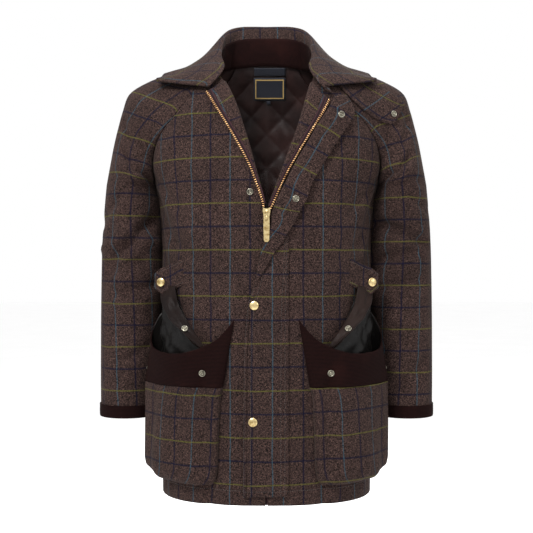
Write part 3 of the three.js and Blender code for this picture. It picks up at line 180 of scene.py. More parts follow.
def woollen_tweed():
    made = Finish("tweed")
    across, along = made.cut()
    wander = made.maths("MULTIPLY", made.maths("SUBTRACT", made.noise(26, 1.0), 0.5), 3.0 * MM)
    across, along = made.maths("ADD", across, wander), made.maths("ADD", along, wander)
    grain = made.noise(430, 3.0, 0.72)
    flecks = made.noise(640, 1.0, 0.6)
    clouds = made.noise(9, 3.0, 0.6)
    twill = made.waves(made.maths("ADD", across, along), 2.3)
    yarn = made.maths("ADD", grain, made.maths("MULTIPLY", twill, 0.035))
    dark, light = hex_colour("0c0808"), hex_colour("372926")
    colour = made.mix(made.ramp(yarn, 0.4, 0.605, False), dark, light)
    colour = made.tint(colour, flecks, 0.57, 0.68, 0.62, "5d4841")
    colour = made.tint(colour, clouds, 0.35, 0.7, 0.2, "0d0908")

    def yarn_line(along_it, repeat, at, wide, code, strength, colour):
        wrapped = made.maths("WRAP", made.maths("SUBTRACT", along_it, at), repeat / 2, -repeat / 2)
        near = made.maths("ABSOLUTE", wrapped)
        line = made.ramp(near, wide * MM * 0.8, wide * MM * 0.15)
        broken = made.maths("MULTIPLY", made.ramp(yarn, 0.36, 0.6, False), 0.5)
        amount = made.maths("MULTIPLY", line, made.maths("ADD", broken, strength - 0.4))
        return made.mix(amount, colour, hex_colour(code))

    colour = yarn_line(across, CHECK_ACROSS, 0, 3.1, "04071a", 0.78, colour)
    colour = yarn_line(along, CHECK_ALONG, 0, 3.1, "04071a", 0.78, colour)
    colour = yarn_line(across, CHECK_ACROSS, CHECK_ACROSS / 2, 1.8, "28434f", 0.64, colour)
    colour = yarn_line(along, CHECK_ALONG, CHECK_ALONG / 2, 2.1, "4a481f", 0.74, colour)
    made.paint(colour)
    made.set(Roughness=0.95, Specular_IOR_Level=0.08, Sheen_Weight=0.03)
    made.set(Sheen_Roughness=0.5, Sheen_Tint=hex_colour("d8c8bc"))
    made.bump(made.maths("ADD", yarn, made.maths("MULTIPLY", flecks, 0.4)), 0.55, 0.7)
    return made.material


# %% [markdown]
# Corduroy has cut-pile ribs, called wales. Light runs along each rib and the grooves stay dark.
# Fine corduroy has a wale about every 2.2 mm, which the picture can just show.


# %% Corduroy
def fine_corduroy():
    made = Finish("corduroy")
    across, along = made.cut()
    wander = made.maths("MULTIPLY", made.noise(60, 1.0), 1.2 * MM)
    rib = made.waves(made.maths("ADD", along, wander), 2.2)
    pile = made.noise(300, 2.0, 0.6)
    worn = made.noise(14, 3.0, 0.6)
    height = made.maths("ADD", made.maths("MULTIPLY", rib, 0.5), made.maths("MULTIPLY", pile, 0.5))
    # the colour follows the rib height as well: partly the pile's own tone, partly painted shade in the
    # grooves and painted light along the rib tops
    colour = made.mix(made.ramp(height, -0.3, 0.75, False), hex_colour("070303"), hex_colour("1a0b0a"))
    colour = made.tint(colour, worn, 0.5, 0.75, 0.25, "2c1512")
    made.paint(colour)
    made.set(Roughness=0.95, Specular_IOR_Level=0.05, Sheen_Weight=0.025)
    made.set(Sheen_Roughness=0.35, Sheen_Tint=hex_colour("b08a80"))
    made.bump(height, 0.5, 0.6)
    return made.material


# %% [markdown]
# Satin lining shows long floats of smooth thread on its face, so it has a soft broad shine that
# breaks up over small crumples. The quilted one is stitched in diamonds over thin wadding.


# %% Satin, quilted lining and woven label
def lining_satin(name, dark, light, rough, shine, crumple):
    made = Finish(name)
    across, along = made.cut()
    soft = made.noise(16, 3.0, 0.55)
    creases = made.noise(75, 3.0, 0.6)
    thread = made.waves(across, 1.6)
    colour = made.mix(made.ramp(soft, 0.3, 0.7), hex_colour(dark), hex_colour(light))
    colour = made.tint(colour, thread, -1, 1, 0.08, "0f0a0a")
    made.paint(colour)
    made.set(Roughness=rough, Specular_IOR_Level=shine, Sheen_Weight=0.02)
    made.set(Sheen_Roughness=0.3, Anisotropic=0.4)
    made.bump(made.maths("ADD", creases, made.maths("MULTIPLY", thread, 0.03)), crumple, 1.6)
    return made.material


def woven_label(name, wide, tall, border):
    made = Finish(name)
    across, along = made.cut()
    rib = made.waves(along, 1.0)
    colour = made.tint(hex_colour("0e1019"), rib, -1, 1, 0.4, "1f2433")
    if border:
        edge = made.maths(
            "MINIMUM",
            made.maths("MINIMUM", across, made.maths("SUBTRACT", wide * MM, across)),
            made.maths("MINIMUM", along, made.maths("SUBTRACT", tall * MM, along)),
        )
        line = made.maths("ABSOLUTE", made.maths("SUBTRACT", edge, border * MM))
        colour = made.mix(made.ramp(line, 1.3 * MM, 0.7 * MM), colour, hex_colour("a08550"))
    made.paint(colour)
    made.set(Roughness=0.7, Specular_IOR_Level=0.3, Sheen_Weight=0.15)
    made.bump(rib, 0.3, 0.2)
    return made.material


# %% [markdown]
# The zip tape is a woven polyester band with a darker line beside the teeth. The teeth, slider
# and caps are polished brass, rubbed brighter on their edges; the ring snaps are nickel plate.


# %% Tape, thread and metals
def woven_tape():
    made = Finish("zip_tape")
    across, along = made.cut()
    rows = made.waves(made.maths("ADD", across, along), 1.5)
    band = made.waves(across, 5.0)
    colour = made.mix(made.ramp(band, -0.2, 0.8), hex_colour("170b0e"), hex_colour("331b20"))
    made.paint(made.tint(colour, rows, -1, 1, 0.25, "0d0607"))
    made.set(Roughness=0.85, Specular_IOR_Level=0.15, Sheen_Weight=0.03)
    made.bump(rows, 0.4, 0.3)
    return made.material


def sewing_thread(name, code, other):
    made = Finish(name)
    twist = made.noise(700, 1.0)
    made.paint(made.mix(made.ramp(twist, 0.35, 0.65), hex_colour(code), hex_colour(other)))
    made.set(Roughness=0.75, Sheen_Weight=0.2)
    made.bump(twist, 0.3, 0.2)
    return made.material


def polished_metal(name, dark, bright, rough):
    made = Finish(name)
    wear = made.noise(160, 4.0, 0.65)
    made.paint(made.mix(made.ramp(wear, 0.3, 0.62), hex_colour(dark), hex_colour(bright)))
    inputs = {"Value": wear, "From Min": 0.3, "From Max": 0.7, "To Min": rough + 0.12,
              "To Max": rough - 0.06}
    polish = add_node(made.tree, "ShaderNodeMapRange", None, inputs).outputs[0]
    made.tree.links.new(polish, made.surface.inputs["Roughness"])
    made.set(Metallic=1.0)
    made.bump(made.noise(900, 2.0), 0.12, 0.15)
    return made.material


TWEED = woollen_tweed()
CORDUROY = fine_corduroy()
BODY_LINING = lining_satin("body_lining", "1f1312", "362521", 0.46, 0.2, 0.18)
QUILTED = lining_satin("quilted_lining", "1b1110", "362523", 0.4, 0.2, 0.3)
SATIN = lining_satin("pocket_satin", "060505", "12100f", 0.34, 0.14, 0.8)
FLAP_SATIN = lining_satin("flap_satin", "100a09", "201613", 0.42, 0.07, 0.8)
TAPE = woven_tape()
LABEL = woven_label("label", 62, 42, 4)
UPPER_LABEL = woven_label("label_upper", 61, 12, 0)
BRASS = polished_metal("brass", "8d7446", "d8c391", 0.26)
TEETH = polished_metal("zip_brass", "7c5834", "d2a775", 0.3)
NICKEL = polished_metal("nickel_plate", "4c4840", "8f8b7d", 0.3)
BROWN_THREAD = sewing_thread("brown_thread", "150e0c", "2c201b")
TAN_THREAD = sewing_thread("tan_thread", "3a2d26", "5d4c40")
print("finishes:", len(bpy.data.materials))

# %% [markdown]
# ## Reading the shape
# The worn shape is written as short tables of sections, and a smooth curve is read through their
# rows. The body is a rounded oval at every height. A point on it is given by its angle round
# from the centre front and its height.


# %% Curves through tables
def sections(names, rows):
    return {name: np.array(column, float) for name, column in zip(names.split(), zip(*rows))}


def smooth(t):
    t = np.clip(t, 0, 1)
    return t * t * (3 - 2 * t)


def mix(a, b, t):
    return a + (b - a) * t


def read(table, column, by, value):
    x, y = table[by], table[column]
    if x[-1] < x[0]:
        x, y = x[::-1], y[::-1]
    last = len(x) - 1
    rows = np.arange(last + 1)
    before, after = np.maximum(rows - 1, 0), np.minimum(rows + 1, last)
    slope = (y[after] - y[before]) / (x[after] - x[before])
    i = np.clip(np.searchsorted(x, value), 1, last)
    span = x[i] - x[i - 1]
    t = np.clip((value - x[i - 1]) / span, 0, 1)
    start = y[i - 1] * (2 * t**3 - 3 * t**2 + 1) + slope[i - 1] * span * (t**3 - 2 * t**2 + t)
    return start + y[i] * (3 * t**2 - 2 * t**3) + slope[i] * span * (t**3 - t**2)


def unit(v):
    return v / np.maximum(np.linalg.norm(v, axis=-1, keepdims=True), 1e-9)


def point(x, y, z):
    return np.stack(np.broadcast_arrays(x, y, z), -1).astype(float)


def bezier(a, b, c, d, t):
    t = np.asarray(t, float)[..., None]
    s = 1 - t
    return a * s**3 + b * 3 * s * s * t + c * 3 * s * t * t + d * t**3


# %% The body's sections and folds
HEM_Z, CUFF_Z, ARMPIT_Z, SLIDER_Z, CLOTH = -775, -649, -240, -299, 2.6
BODY = sections(
    "z half front back",
    [
        (HEM_Z, 185, 152, 148), (-700, 186, 152, 146), (-600, 185, 151, 141), (-500, 184, 149, 134),
        (-400, 184, 146, 126), (-320, 187, 143, 122), (-270, 191, 142, 122), (ARMPIT_Z, 198, 141, 125),
        (-215, 208, 139, 127), (-190, 211, 136, 128), (-150, 209, 130, 127), (-110, 204, 120, 123),
        (-88, 196, 110, 119), (-70, 176, 100, 114), (-52, 150, 86, 108), (-30, 130, 74, 98),
        (-8, 110, 62, 84), (8, 100, 56, 78),
    ],
)
# each fold runs from one place to another (degrees round from the front, and height), with its
# half width and its height off the cloth, which is below zero for a trough
FOLD = "from_ from_z to to_z width depth"
BODY_FOLDS = sections(
    FOLD,
    [
        (80, -262, 52, -352, 15, -5), (84, -300, 60, -420, 14, -4), (58, -128, 74, -218, 13, -4),
        (34, -200, 30, -420, 24, 3), (100, -262, 128, -380, 15, -6), (122, -150, 108, -232, 14, -5),
        (152, -210, 158, -640, 20, 4), (168, -330, 166, -770, 18, -4), (130, -430, 136, -770, 20, -5),
        (112, -500, 116, -770, 18, 4),
        # smaller ones, which the CAD solids leave out
        (76, -226, 46, -286, 9, -3.0), (70, -250, 36, -336, 10, 2.2), (62, -330, 34, -376, 9, -2.2),
        (34, -118, 50, -190, 9, 2.4), (22, -330, 44, -460, 10, -2.0), (12, -372, 22, -540, 9, 1.6),
        (20, -560, 24, -775, 8, -2.2), (14, -640, 12, -775, 7, 1.5), (58, -760, 50, -735, 9, -2),
        (96, -300, 118, -350, 8, -2.4), (142, -180, 124, -300, 10, -2.6), (170, -120, 150, -260, 10, -2.2),
        (104, -560, 99, -770, 9, -2.2), (146, -520, 143, -770, 10, 2.6), (178, -150, 172, -420, 9, 1.8),
        (160, -300, 148, -420, 12, -2.4), (176, -420, 160, -560, 11, 2.0), (60, -600, 66, -770, 8, -2),
        (31, -560, 29, -780, 9, -7), (47, -440, 60, -520, 12, -2.5),
        # where the side fills out against the sleeve
        (91, -246, 91, -430, 15, 6.5),
    ],
)
BODY_ARC = 165


def relief(folds, across, along, wide, tall):
    total = 0
    for x0, z0, x1, z1, width, depth in zip(*(folds[name] for name in FOLD.split())):
        x0, z0, x1, z1 = x0 * wide, z0 * tall, x1 * wide, z1 * tall
        dx, dz = x1 - x0, z1 - z0
        t = ((across - x0) * dx + (along - z0) * dz) / (dx * dx + dz * dz)
        off = ((across - x0) * dz - (along - z0) * dx) / math.hypot(dx, dz)
        ends = smooth(t / 0.25 + 0.5) * smooth((1 - t) / 0.25 + 0.5)
        total = total + depth * np.exp(-((off / width) ** 2)) * ends
    return total


def body_bare(phi, z):
    k = 1 + 0.05 * np.sin(2 * phi) ** 2
    depth = np.where(np.cos(phi) > 0, read(BODY, "front", "z", z), read(BODY, "back", "z", z))
    return point(read(BODY, "half", "z", z) * np.sin(phi) * k, -depth * np.cos(phi) * k, z)


def body_normal(phi, z):
    across = body_bare(phi + 0.01, z) - body_bare(phi - 0.01, z)
    return unit(np.cross(across, body_bare(phi, z + 2) - body_bare(phi, z - 2)))


def on_body(phi, z, off=0.0):
    phi, z = np.broadcast_arrays(np.asarray(phi, float), np.asarray(z, float))
    around = np.where(np.abs(phi) > math.pi, 2 * math.pi - np.abs(phi), np.abs(phi))
    fold = relief(BODY_FOLDS, around * BODY_ARC, z, math.radians(1) * BODY_ARC, 1)
    lift = np.broadcast_to(fold + off, phi.shape)[..., None]
    return body_bare(phi, z) + body_normal(phi, z) * lift


def angle_at(x, z, behind=False):
    """How far round the body a place lies that is this far from its middle plane"""
    x, z = np.broadcast_arrays(np.asarray(x, float), np.asarray(z, float))
    half = read(BODY, "half", "z", z)
    low, high = np.zeros(x.shape), np.full(x.shape, math.pi / 2)
    for _ in range(32):
        middle = (low + high) / 2
        short = half * np.sin(middle) * (1 + 0.05 * np.sin(2 * middle) ** 2) < np.abs(x)
        low, high = np.where(short, middle, low), np.where(short, high, middle)
    return np.where(x < 0, -1, 1) * (math.pi - low if behind else low)


def on_front(x, z, off=0.0):
    return on_body(angle_at(x, z), z, off)


print("waist:", np.round(on_front(0.0, -400.0), 1))

# %% [markdown]
# ## Sleeves
# A raglan sleeve is one tube up to the armpit. Above it the tube opens into a cap that runs up
# between the front and the back as far as the neck, so its sections there are arches from one
# raglan seam over the shoulder to the other.

# %% Sleeve sections
SLEEVE = sections(
    "t z inner outer middle depth",
    [
        (0, CUFF_Z, 202, 298.5, 8, 47), (1, -625, 201, 298.5, 9, 48.5), (2, -580, 199, 299, 11, 51),
        (3, -535, 195, 299, 12, 53.5), (4, -490, 189.5, 299, 13, 56), (5, -445, 186, 298.5, 13, 59),
        (6, -400, 185.4, 297.5, 12, 62), (7, -355, 186.3, 296, 10, 65), (8, -312, 188.8, 293.5, 8, 68),
        (9, -274, 192.6, 289.5, 4, 72), (10, ARMPIT_Z, 198.8, 285.5, 1, 74),
    ],
)
CAP = sections(
    "t front_x front_z back_x back_z ridge_x ridge_y ridge_z bulge side lift",
    [
        (10, 198, -240, 198, -240, 285.5, 1, -240, 1.12, 0, 0),
        (11, 200, -214, 201, -212, 279.5, 3, -205, 0.76, 0.3, 0),
        (12, 200, -191, 199, -186, 273.5, 4, -171, 0.6, 0.45, 0.1),
        (13, 191, -169, 191, -158, 266, 5, -138, 0.5, 0.62, 0.15),
        (14, 176, -148, 177, -131, 258, 5, -106, 0.42, 0.8, 0.2),
        (15, 159, -129, 159, -105, 246, 5, -75, 0.38, 0.95, 0.25),
        (16, 141, -108, 137, -79, 214, 6, -54, 0.36, 1, 0.25),
        (17, 127, -88, 113, -54, 178, 8, -40, 0.36, 1, 0.2),
        (18, 114, -70, 91, -30, 136, 9, -28, 0.35, 1, 0.15),
        (19, 100, -52, 72, -8, 88, 8, -18, 0.33, 1, 0.08),
    ],
)
# folds of each sleeve: round from the underarm seam (0 to 2) and section number
SLEEVE_FOLDS = {
    RIGHT: sections(
        FOLD,
        [
            (0.1, 8.6, 0.75, 6.4, 10, -8), (0.15, 7.2, 0.62, 7.9, 10, 5.5), (0.3, 6.6, 0.8, 6.1, 10, -5),
            (0.05, 10.2, 0.5, 11.8, 12, -6), (1.95, 8.4, 1.3, 6.6, 12, -5), (1.9, 10, 1.5, 11.6, 12, -5),
            (1.5, 5.6, 1.6, 2.2, 14, 3),
            (0.15, 5.7, 0.66, 5.2, 8, -3.6), (0.3, 4.7, 0.7, 5.0, 8, 2.6), (0.2, 3.3, 0.6, 2.5, 9, -2.8),
            (0.5, 9.6, 0.95, 8.0, 9, -3.4), (0.3, 12.4, 0.7, 13.6, 9, -3.2), (0.3, 1.2, 0.8, 1.7, 8, 2.0),
            (0.25, 10.8, 0.75, 10.2, 9, -3.0), (0.4, 7.6, 0.9, 7.0, 8, 2.6),
            (1.7, 7.4, 1.2, 7.9, 9, -2.5), (1.6, 3.4, 1.2, 2.8, 9, -2), (1.3, 12.2, 1.6, 13.6, 10, -2),
        ],
    ),
    LEFT: sections(
        FOLD,
        [
            (0.1, 8.2, 0.8, 7.2, 10, -8), (0.12, 6.6, 0.7, 6.9, 10, -6), (0.3, 1.6, 0.75, 2.6, 11, -4),
            (0.05, 10.2, 0.5, 11.6, 12, -6), (1.95, 8.8, 1.35, 7, 12, -5), (1.9, 10, 1.5, 11.6, 12, -5),
            (1.45, 5, 1.6, 1.8, 14, 3),
            (0.15, 5.4, 0.7, 5.9, 8, -3.6), (0.3, 4.3, 0.66, 4.1, 8, 2.4), (0.2, 3.0, 0.55, 3.5, 9, -2.8),
            (0.45, 9.4, 0.9, 8.6, 9, -3.4), (0.3, 12.2, 0.65, 13.8, 9, -3.2), (0.4, 0.8, 0.8, 0.9, 8, 2.0),
            (0.25, 10.6, 0.8, 10.0, 9, -3.0), (0.35, 7.4, 0.85, 7.9, 8, 2.4),
            (1.65, 7.8, 1.25, 7.5, 9, -2.2), (1.62, 3.0, 1.2, 3.3, 9, -2), (1.35, 12.4, 1.6, 13.4, 10, -2),
        ],
    ),
}
SLEEVE_ARC, SLEEVE_ROW = 150, 43
DEEPER = 1.7  # the cloth's folds on the sleeves against the table's depths
TUCKED_IN = 3.4  # how far the sleeve leans on the body above the elbow
AXIS_X = np.array([1.0, 0, 0])


def sleeve_bare(t, around):
    t, around = np.broadcast_arrays(np.asarray(t, float), np.asarray(around, float))
    back = around > 1
    turn = np.where(back, -1.0, 1.0)
    share = np.where(back, 2 - around, around)
    low = {name: read(SLEEVE, name, "t", np.minimum(t, 10)) for name in SLEEVE}
    swell = -4 / 3 * low["depth"] * turn
    start, end = (point(low[name], low["middle"], low["z"]) for name in ("inner", "outer"))
    reach = point(0, swell, 0)
    tube = bezier(start, start + reach, end + reach, end, share)
    cap = {name: read(CAP, name, "t", np.maximum(t, 10)) for name in CAP}
    phi_front = angle_at(cap["front_x"], cap["front_z"])
    phi_back = angle_at(cap["back_x"], cap["back_z"], True)
    phi = np.where(back, phi_back, phi_front)
    seam = on_body(phi, np.where(back, cap["back_z"], cap["front_z"]))
    ridge = point(cap["ridge_x"], cap["ridge_y"], cap["ridge_z"])
    reach = (cap["bulge"] * np.linalg.norm(seam - ridge, axis=-1))[..., None]
    chord = unit(ridge - seam) + body_normal(phi, seam[..., 2]) * cap["lift"][..., None]
    leave = unit(point(0, -turn * (1 - cap["side"]), 0) + chord * cap["side"][..., None])
    ahead = reach * point(0, -turn, 0)
    arch = bezier(seam, seam + leave * reach, ridge + ahead, ridge, share)
    return np.where((t <= 10)[..., None], tube, arch)


def normals(grid):
    across = np.empty_like(grid)
    across[:, 1:-1] = grid[:, 2:] - grid[:, :-2]
    across[:, 0], across[:, -1] = grid[:, 1] - grid[:, 0], grid[:, -1] - grid[:, -2]
    along = np.empty_like(grid)
    along[1:-1] = grid[2:] - grid[:-2]
    along[0], along[-1] = grid[1] - grid[0], grid[-1] - grid[-2]
    return unit(np.cross(across, along))


LOW_T, CAP_T = np.linspace(0, 10, 88), np.linspace(10, 19, 52)[1:]
SLEEVE_T, AROUND = np.concatenate([LOW_T, CAP_T]), np.linspace(0, 2, 89)


SEAM_DEEP = 1.1  # how far a seam draws the cloth in


def seam_dip(columns):
    """The dip along the two edges of a panel, and the start of it beside them"""
    dip = np.zeros(columns)
    dip[[0, -1]], dip[[1, -2]] = -SEAM_DEEP, -0.25 * SEAM_DEEP
    return dip


def sleeve_grid(side):
    t, around = np.meshgrid(SLEEVE_T, AROUND, indexing="ij")
    bare = sleeve_bare(t, around)
    inside = smooth(around * 6) * smooth((2 - around) * 6)
    fold = relief(SLEEVE_FOLDS[side], around * SLEEVE_ARC, t * SLEEVE_ROW, SLEEVE_ARC, SLEEVE_ROW)
    from_seam = np.minimum(around, 2 - around)
    inward = TUCKED_IN * smooth((t - 4.5) / 2) * smooth((10.2 - t) / 1.2)
    inward = inward * np.exp(-((from_seam / 0.22) ** 2))
    fold = DEEPER * fold * smooth((t - 0.8) / 0.8)  # the cuff's binding lies on a smooth end
    lift = (inside * fold + seam_dip(len(AROUND)))[..., None]
    return bare + normals(bare) * lift - inward[..., None] * AXIS_X


# %% [markdown]
# ## Fronts and back
# Each front runs from its open edge to the side seam, and above the armpit to the raglan seam.
# Above the slider its edge is the roll line, where the front turns back as a lapel.

# %% Front and back panels
LAPEL_COLUMNS = "t roll_x roll_z zip_x zip_z"
LAPEL = {
    RIGHT: sections(
        LAPEL_COLUMNS,
        [
            (0, 1.8, SLIDER_Z, 2.5, -297), (1, 7, -269, 8.5, -270), (2, 14, -242, 18, -243),
            (3, 21, -217, 28, -217), (4, 30, -183, 45, -184), (5, 39, -153, 62, -154),
            (6, 50, -118, 80, -124), (7, 62, -88, 94, -101), (8, 79, -57, 104, -84),
        ],
    ),
    LEFT: sections(
        LAPEL_COLUMNS,
        [
            (0, 1.8, SLIDER_Z, 2.5, -297), (1, 8, -277, 12, -278), (2, 16, -255, 22, -254),
            (3, 25, -230, 35, -227), (4, 36, -200, 53, -195), (5, 49, -165, 70, -166),
            (6, 60, -130, 86, -140), (7, 70, -94, 98, -118), (8, 81, -57, 108, -97),
        ],
    ),
}
LOW_Z = np.linspace(HEM_Z, ARMPIT_Z, 112)


def hem_drop(phi, z):
    """The hem hangs a little lower at the sides"""
    return 4 * np.sin(phi) ** 2 * np.clip((-735 - z) / 40, 0, 1)


def front_grid(side):
    cap_x, cap_z = (read(CAP, name, "t", CAP_T) for name in ("front_x", "front_z"))
    edge_z = np.concatenate([LOW_Z, cap_z - 5 * smooth((CAP_T - 17) / 2)])[:, None]
    side_z = np.concatenate([LOW_Z, cap_z])[:, None]
    low = np.full(len(LOW_Z), math.pi / 2)
    side_angle = np.concatenate([low, angle_at(cap_x, cap_z)])[:, None]
    u = np.linspace(0, 1, 61)[None, :]
    edge_x = np.where(edge_z <= SLIDER_Z, 1.8, read(LAPEL[side], "roll_x", "roll_z", edge_z))
    phi = mix(angle_at(edge_x, edge_z), side_angle, u)
    z = mix(edge_z, side_z, u)
    dip = np.where(u == 1, -SEAM_DEEP, 0) * np.ones_like(z)
    z = z - hem_drop(phi, z)
    return on_body(phi, z, dip), phi, z


def back_grid():
    cap_x, cap_z = (read(CAP, name, "t", CAP_T) for name in ("back_x", "back_z"))
    z = np.concatenate([LOW_Z, cap_z])[:, None]
    low = np.full(len(LOW_Z), math.pi / 2)
    side_angle = np.concatenate([low, angle_at(cap_x, cap_z, True)])[:, None]
    crown = np.concatenate([0 * LOW_Z, 8 * smooth((CAP_T - 17) / 2)])[:, None]
    u = np.linspace(-1, 1, 121)[None, :]
    phi = math.pi - (math.pi - side_angle) * u
    z = z + crown * (1 - u * u)
    z = z - hem_drop(phi, z)
    return on_body(phi, z, seam_dip(u.size)[None, :] * np.ones_like(z)), phi, z


fronts = {side: front_grid(side) for side, _ in SIDES}
sleeves = {side: sleeve_grid(side) for side, _ in SIDES}
back = back_grid()
print("grids:", fronts[LEFT][0].shape, sleeves[LEFT].shape, back[0].shape)

# %% [markdown]
# ## From a grid to a piece of cloth
# A grid becomes a mesh with its UV map in cloth millimetres, and Solidify gives it the thickness
# inwards. The inner side takes the lining. For every piece its area and the size it was cut to are
# noted and printed at the end; the size is how far its UV map reaches, or its length all round on a cuff.


# %% Making a cloth piece and noting its size
def on_side(side, grid):
    return grid * np.array([side, 1, 1])


def run(grid, axis):
    """Length of cloth from the first row (axis 0) or column (axis 1) of a grid"""
    steps = np.linalg.norm(np.diff(grid, axis=axis), axis=-1)
    start = np.zeros_like(np.take(steps, [0], axis))
    return np.concatenate([start, np.cumsum(steps, axis)], axis)


def surface_area(grid):
    a, b, c, d = grid[:-1, :-1], grid[:-1, 1:], grid[1:, 1:], grid[1:, :-1]
    halves = np.cross(b - a, c - a), np.cross(c - a, d - a)
    return sum(np.linalg.norm(half, axis=-1).sum() / 2 for half in halves)


def even(values, times=2):
    """Softens a grid of values along both directions, keeping its rim"""
    values = values.copy()
    for _ in range(times):
        values[1:-1] = (values[:-2] + 2 * values[1:-1] + values[2:]) / 4
        values[:, 1:-1] = (values[:, :-2] + 2 * values[:, 1:-1] + values[:, 2:]) / 4
    return values


def soften(values, times=2):
    """The same along the rows only, and in place"""
    for _ in range(times):
        values[1:-1] = (values[:-2] + 2 * values[1:-1] + values[2:]) / 4
    return values


def quads_of(index, flip=False):
    """The four corners of each face of a grid, turned round where its other side faces outwards"""
    a, b, c, d = index[:-1, :-1], index[:-1, 1:], index[1:, 1:], index[1:, :-1]
    return np.stack([a, d, c, b] if flip else [a, b, c, d], -1).reshape(-1, 4)


def grid_mesh(name, grid, across, along, flip, ring=False):
    rows, columns = grid.shape[:2]
    index = np.arange(rows * columns).reshape(rows, columns)
    if ring:  # the last column is the first one again
        index = np.concatenate([index, index[:, :1]], 1)
    mesh = bpy.data.meshes.new(name)
    mesh.from_pydata((grid.reshape(-1, 3) * MM).tolist(), [], quads_of(index, flip).tolist())
    cut = np.stack(np.broadcast_arrays(across, along), -1).astype(float)
    if ring:
        width = float(np.linalg.norm(grid[:, 0] - grid[:, -1], axis=-1).mean())
        cut = np.concatenate([cut, cut[:, -1:] + np.array([width, 0.0])], 1)
    rows_cut = np.arange(cut.shape[0] * cut.shape[1]).reshape(cut.shape[:2])
    corner = quads_of(rows_cut, flip).reshape(-1)
    layer = mesh.uv_layers.new(name="cut")
    layer.data.foreach_set("uv", (cut.reshape(-1, 2)[corner] * MM).astype(np.float32).ravel())
    mesh.polygons.foreach_set("use_smooth", [True] * len(mesh.polygons))
    mesh.update()
    return mesh


def show(name, mesh, finishes):
    piece = bpy.data.objects.new(name, mesh)
    for finish in finishes:
        mesh.materials.append(finish)
    scene.collection.objects.link(piece)
    return piece


def thicken(piece, thick, offset=0):
    wall = piece.modifiers.new("thickness", "SOLIDIFY")
    wall.thickness, wall.offset = thick * MM, offset
    return wall


tally = {}


def cloth(node, grid, across, along, finishes, thick=CLOTH, flip=False,
          ring=False, middle=False, phase=(0, 0)):
    """A piece of cloth in place of a CAD node; phase moves the check across and along"""
    across, along = np.asarray(across, float), np.asarray(along, float)
    mesh = grid_mesh(node + "_cloth", grid, across + phase[0], along + phase[1], flip, ring)
    piece = show(node + "_cloth", mesh, finishes)
    wall = thicken(piece, thick, 0 if middle else -1)
    wall.material_offset = len(finishes) - 1
    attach(piece, "jacket")
    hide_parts(node)
    closed = np.concatenate([grid, grid[:, :1]], 1) if ring else grid
    wide, long = np.ptp(run(closed, 1), axis=1).max() if ring else np.ptp(across), np.ptp(along)
    area = min(surface_area(closed), wide * long)
    tally[node] = (round(float(wide)), round(float(long)), round(area / 1e6, 4))
    return piece


# %% [markdown]
# The check hangs on the straight grain. On the fronts it counts from the centre front, on the
# back from the centre back, and on a sleeve from the line down its outside. The lines do not
# meet across the seams, because the cloth was cut there.


WAIST_ROW = -28.3
FRONT_CHECK = {RIGHT: (-27, WAIST_ROW), LEFT: (-61, WAIST_ROW)}
SLEEVE_CHECK = {RIGHT: (-33.4, -8.2), LEFT: (-30, -39.6)}
POCKET_CHECK = {RIGHT: (-17, 634), LEFT: (-20, 622)}
TAB_CHECK = {RIGHT: (-28, -26), LEFT: (-31, 33.5)}
HALF_CHECK = 33.3
FLAP_CHECK = (26.5 + HALF_CHECK, -57.3)


def round_body(phi, z, steps=14):
    """Length of cloth round the body from the centre front to this angle"""
    turns = np.linspace(0, 1, steps + 1)
    places = body_bare(phi[..., None] * turns, z[..., None] + 0 * turns)
    return np.linalg.norm(np.diff(places, axis=-2), axis=-1).sum(-1)


def up_body(phi, z, steps=22):
    """Length of cloth up the body from the waist line to this height"""
    start, turns = -500.0, np.linspace(0, 1, steps + 1)
    heights = start + (z[..., None] - start) * turns
    places = body_bare(phi[..., None] + 0 * turns, heights)
    return np.linalg.norm(np.diff(places, axis=-2), axis=-1).sum(-1) * np.sign(z - start)


for side, word in SIDES:
    grid, phi, z = fronts[side]
    cloth("front_" + word, on_side(side, grid), round_body(phi, z), up_body(phi, z),
          [TWEED, BODY_LINING], flip=side == RIGHT, phase=FRONT_CHECK[side])
    grid = sleeves[side]
    plain = sleeve_bare(SLEEVE_T[:, None], AROUND[None, :])
    middle = run(plain, 1)
    middle = soften(middle - middle[:, [len(AROUND) // 2]], 300)
    along = run(plain, 0)
    cloth("sleeve_" + word, on_side(side, grid), -middle, along, [TWEED, BODY_LINING],
          flip=side == RIGHT, phase=SLEEVE_CHECK[side])
grid, phi, z = back
cloth("back", grid, round_body(phi, z) - round_body(math.pi + 0 * phi, z), up_body(phi, z),
      [TWEED, BODY_LINING], flip=True, phase=(0, WAIST_ROW))
print({name: tally[name] for name in ("back", "front_left", "sleeve_left")})

# %% [markdown]
# Pieces that lie on the body and sleeves need to know where that cloth is. A tree of the grids'
# faces answers two questions: what is straight behind this place seen from the front, and what
# is nearest to it.


# %% Finding the cloth under a piece
def face_tree(side):
    places, faces = [], []
    for grid in (fronts[side][0], sleeves[side], back[0]):
        rows, columns = grid.shape[:2]
        index = np.arange(rows * columns).reshape(rows, columns) + len(places)
        places.extend(map(tuple, grid.reshape(-1, 3)))
        faces.extend(map(tuple, quads_of(index)[:, :: -1 if grid is back[0] else 1]))
    return BVHTree.FromPolygons(places, faces)


under = {side: face_tree(side) for side, _ in SIDES}


def front_hit(x, z, side):
    """The cloth straight behind each place seen from the front, and the direction off it"""
    x, z = np.broadcast_arrays(np.asarray(x, float), np.asarray(z, float))
    places, out = np.zeros(x.shape + (3,)), np.zeros(x.shape + (3,))
    for i in np.ndindex(x.shape):
        hit, normal, _, _ = under[side].ray_cast(Vector((x[i], -500, z[i])), Vector((0, 1, 0)))
        places[i] = hit if hit else (x[i], -60, z[i])
        out[i] = normal if hit and normal.y < 0 else (0, -1, 0)
    return places, out


def laid(x, z, side, height):
    places, out = front_hit(x, z, side)
    if out.ndim == 3:
        out = unit(even(out, 6))
    return places + out * np.broadcast_to(height, places.shape[:-1])[..., None]


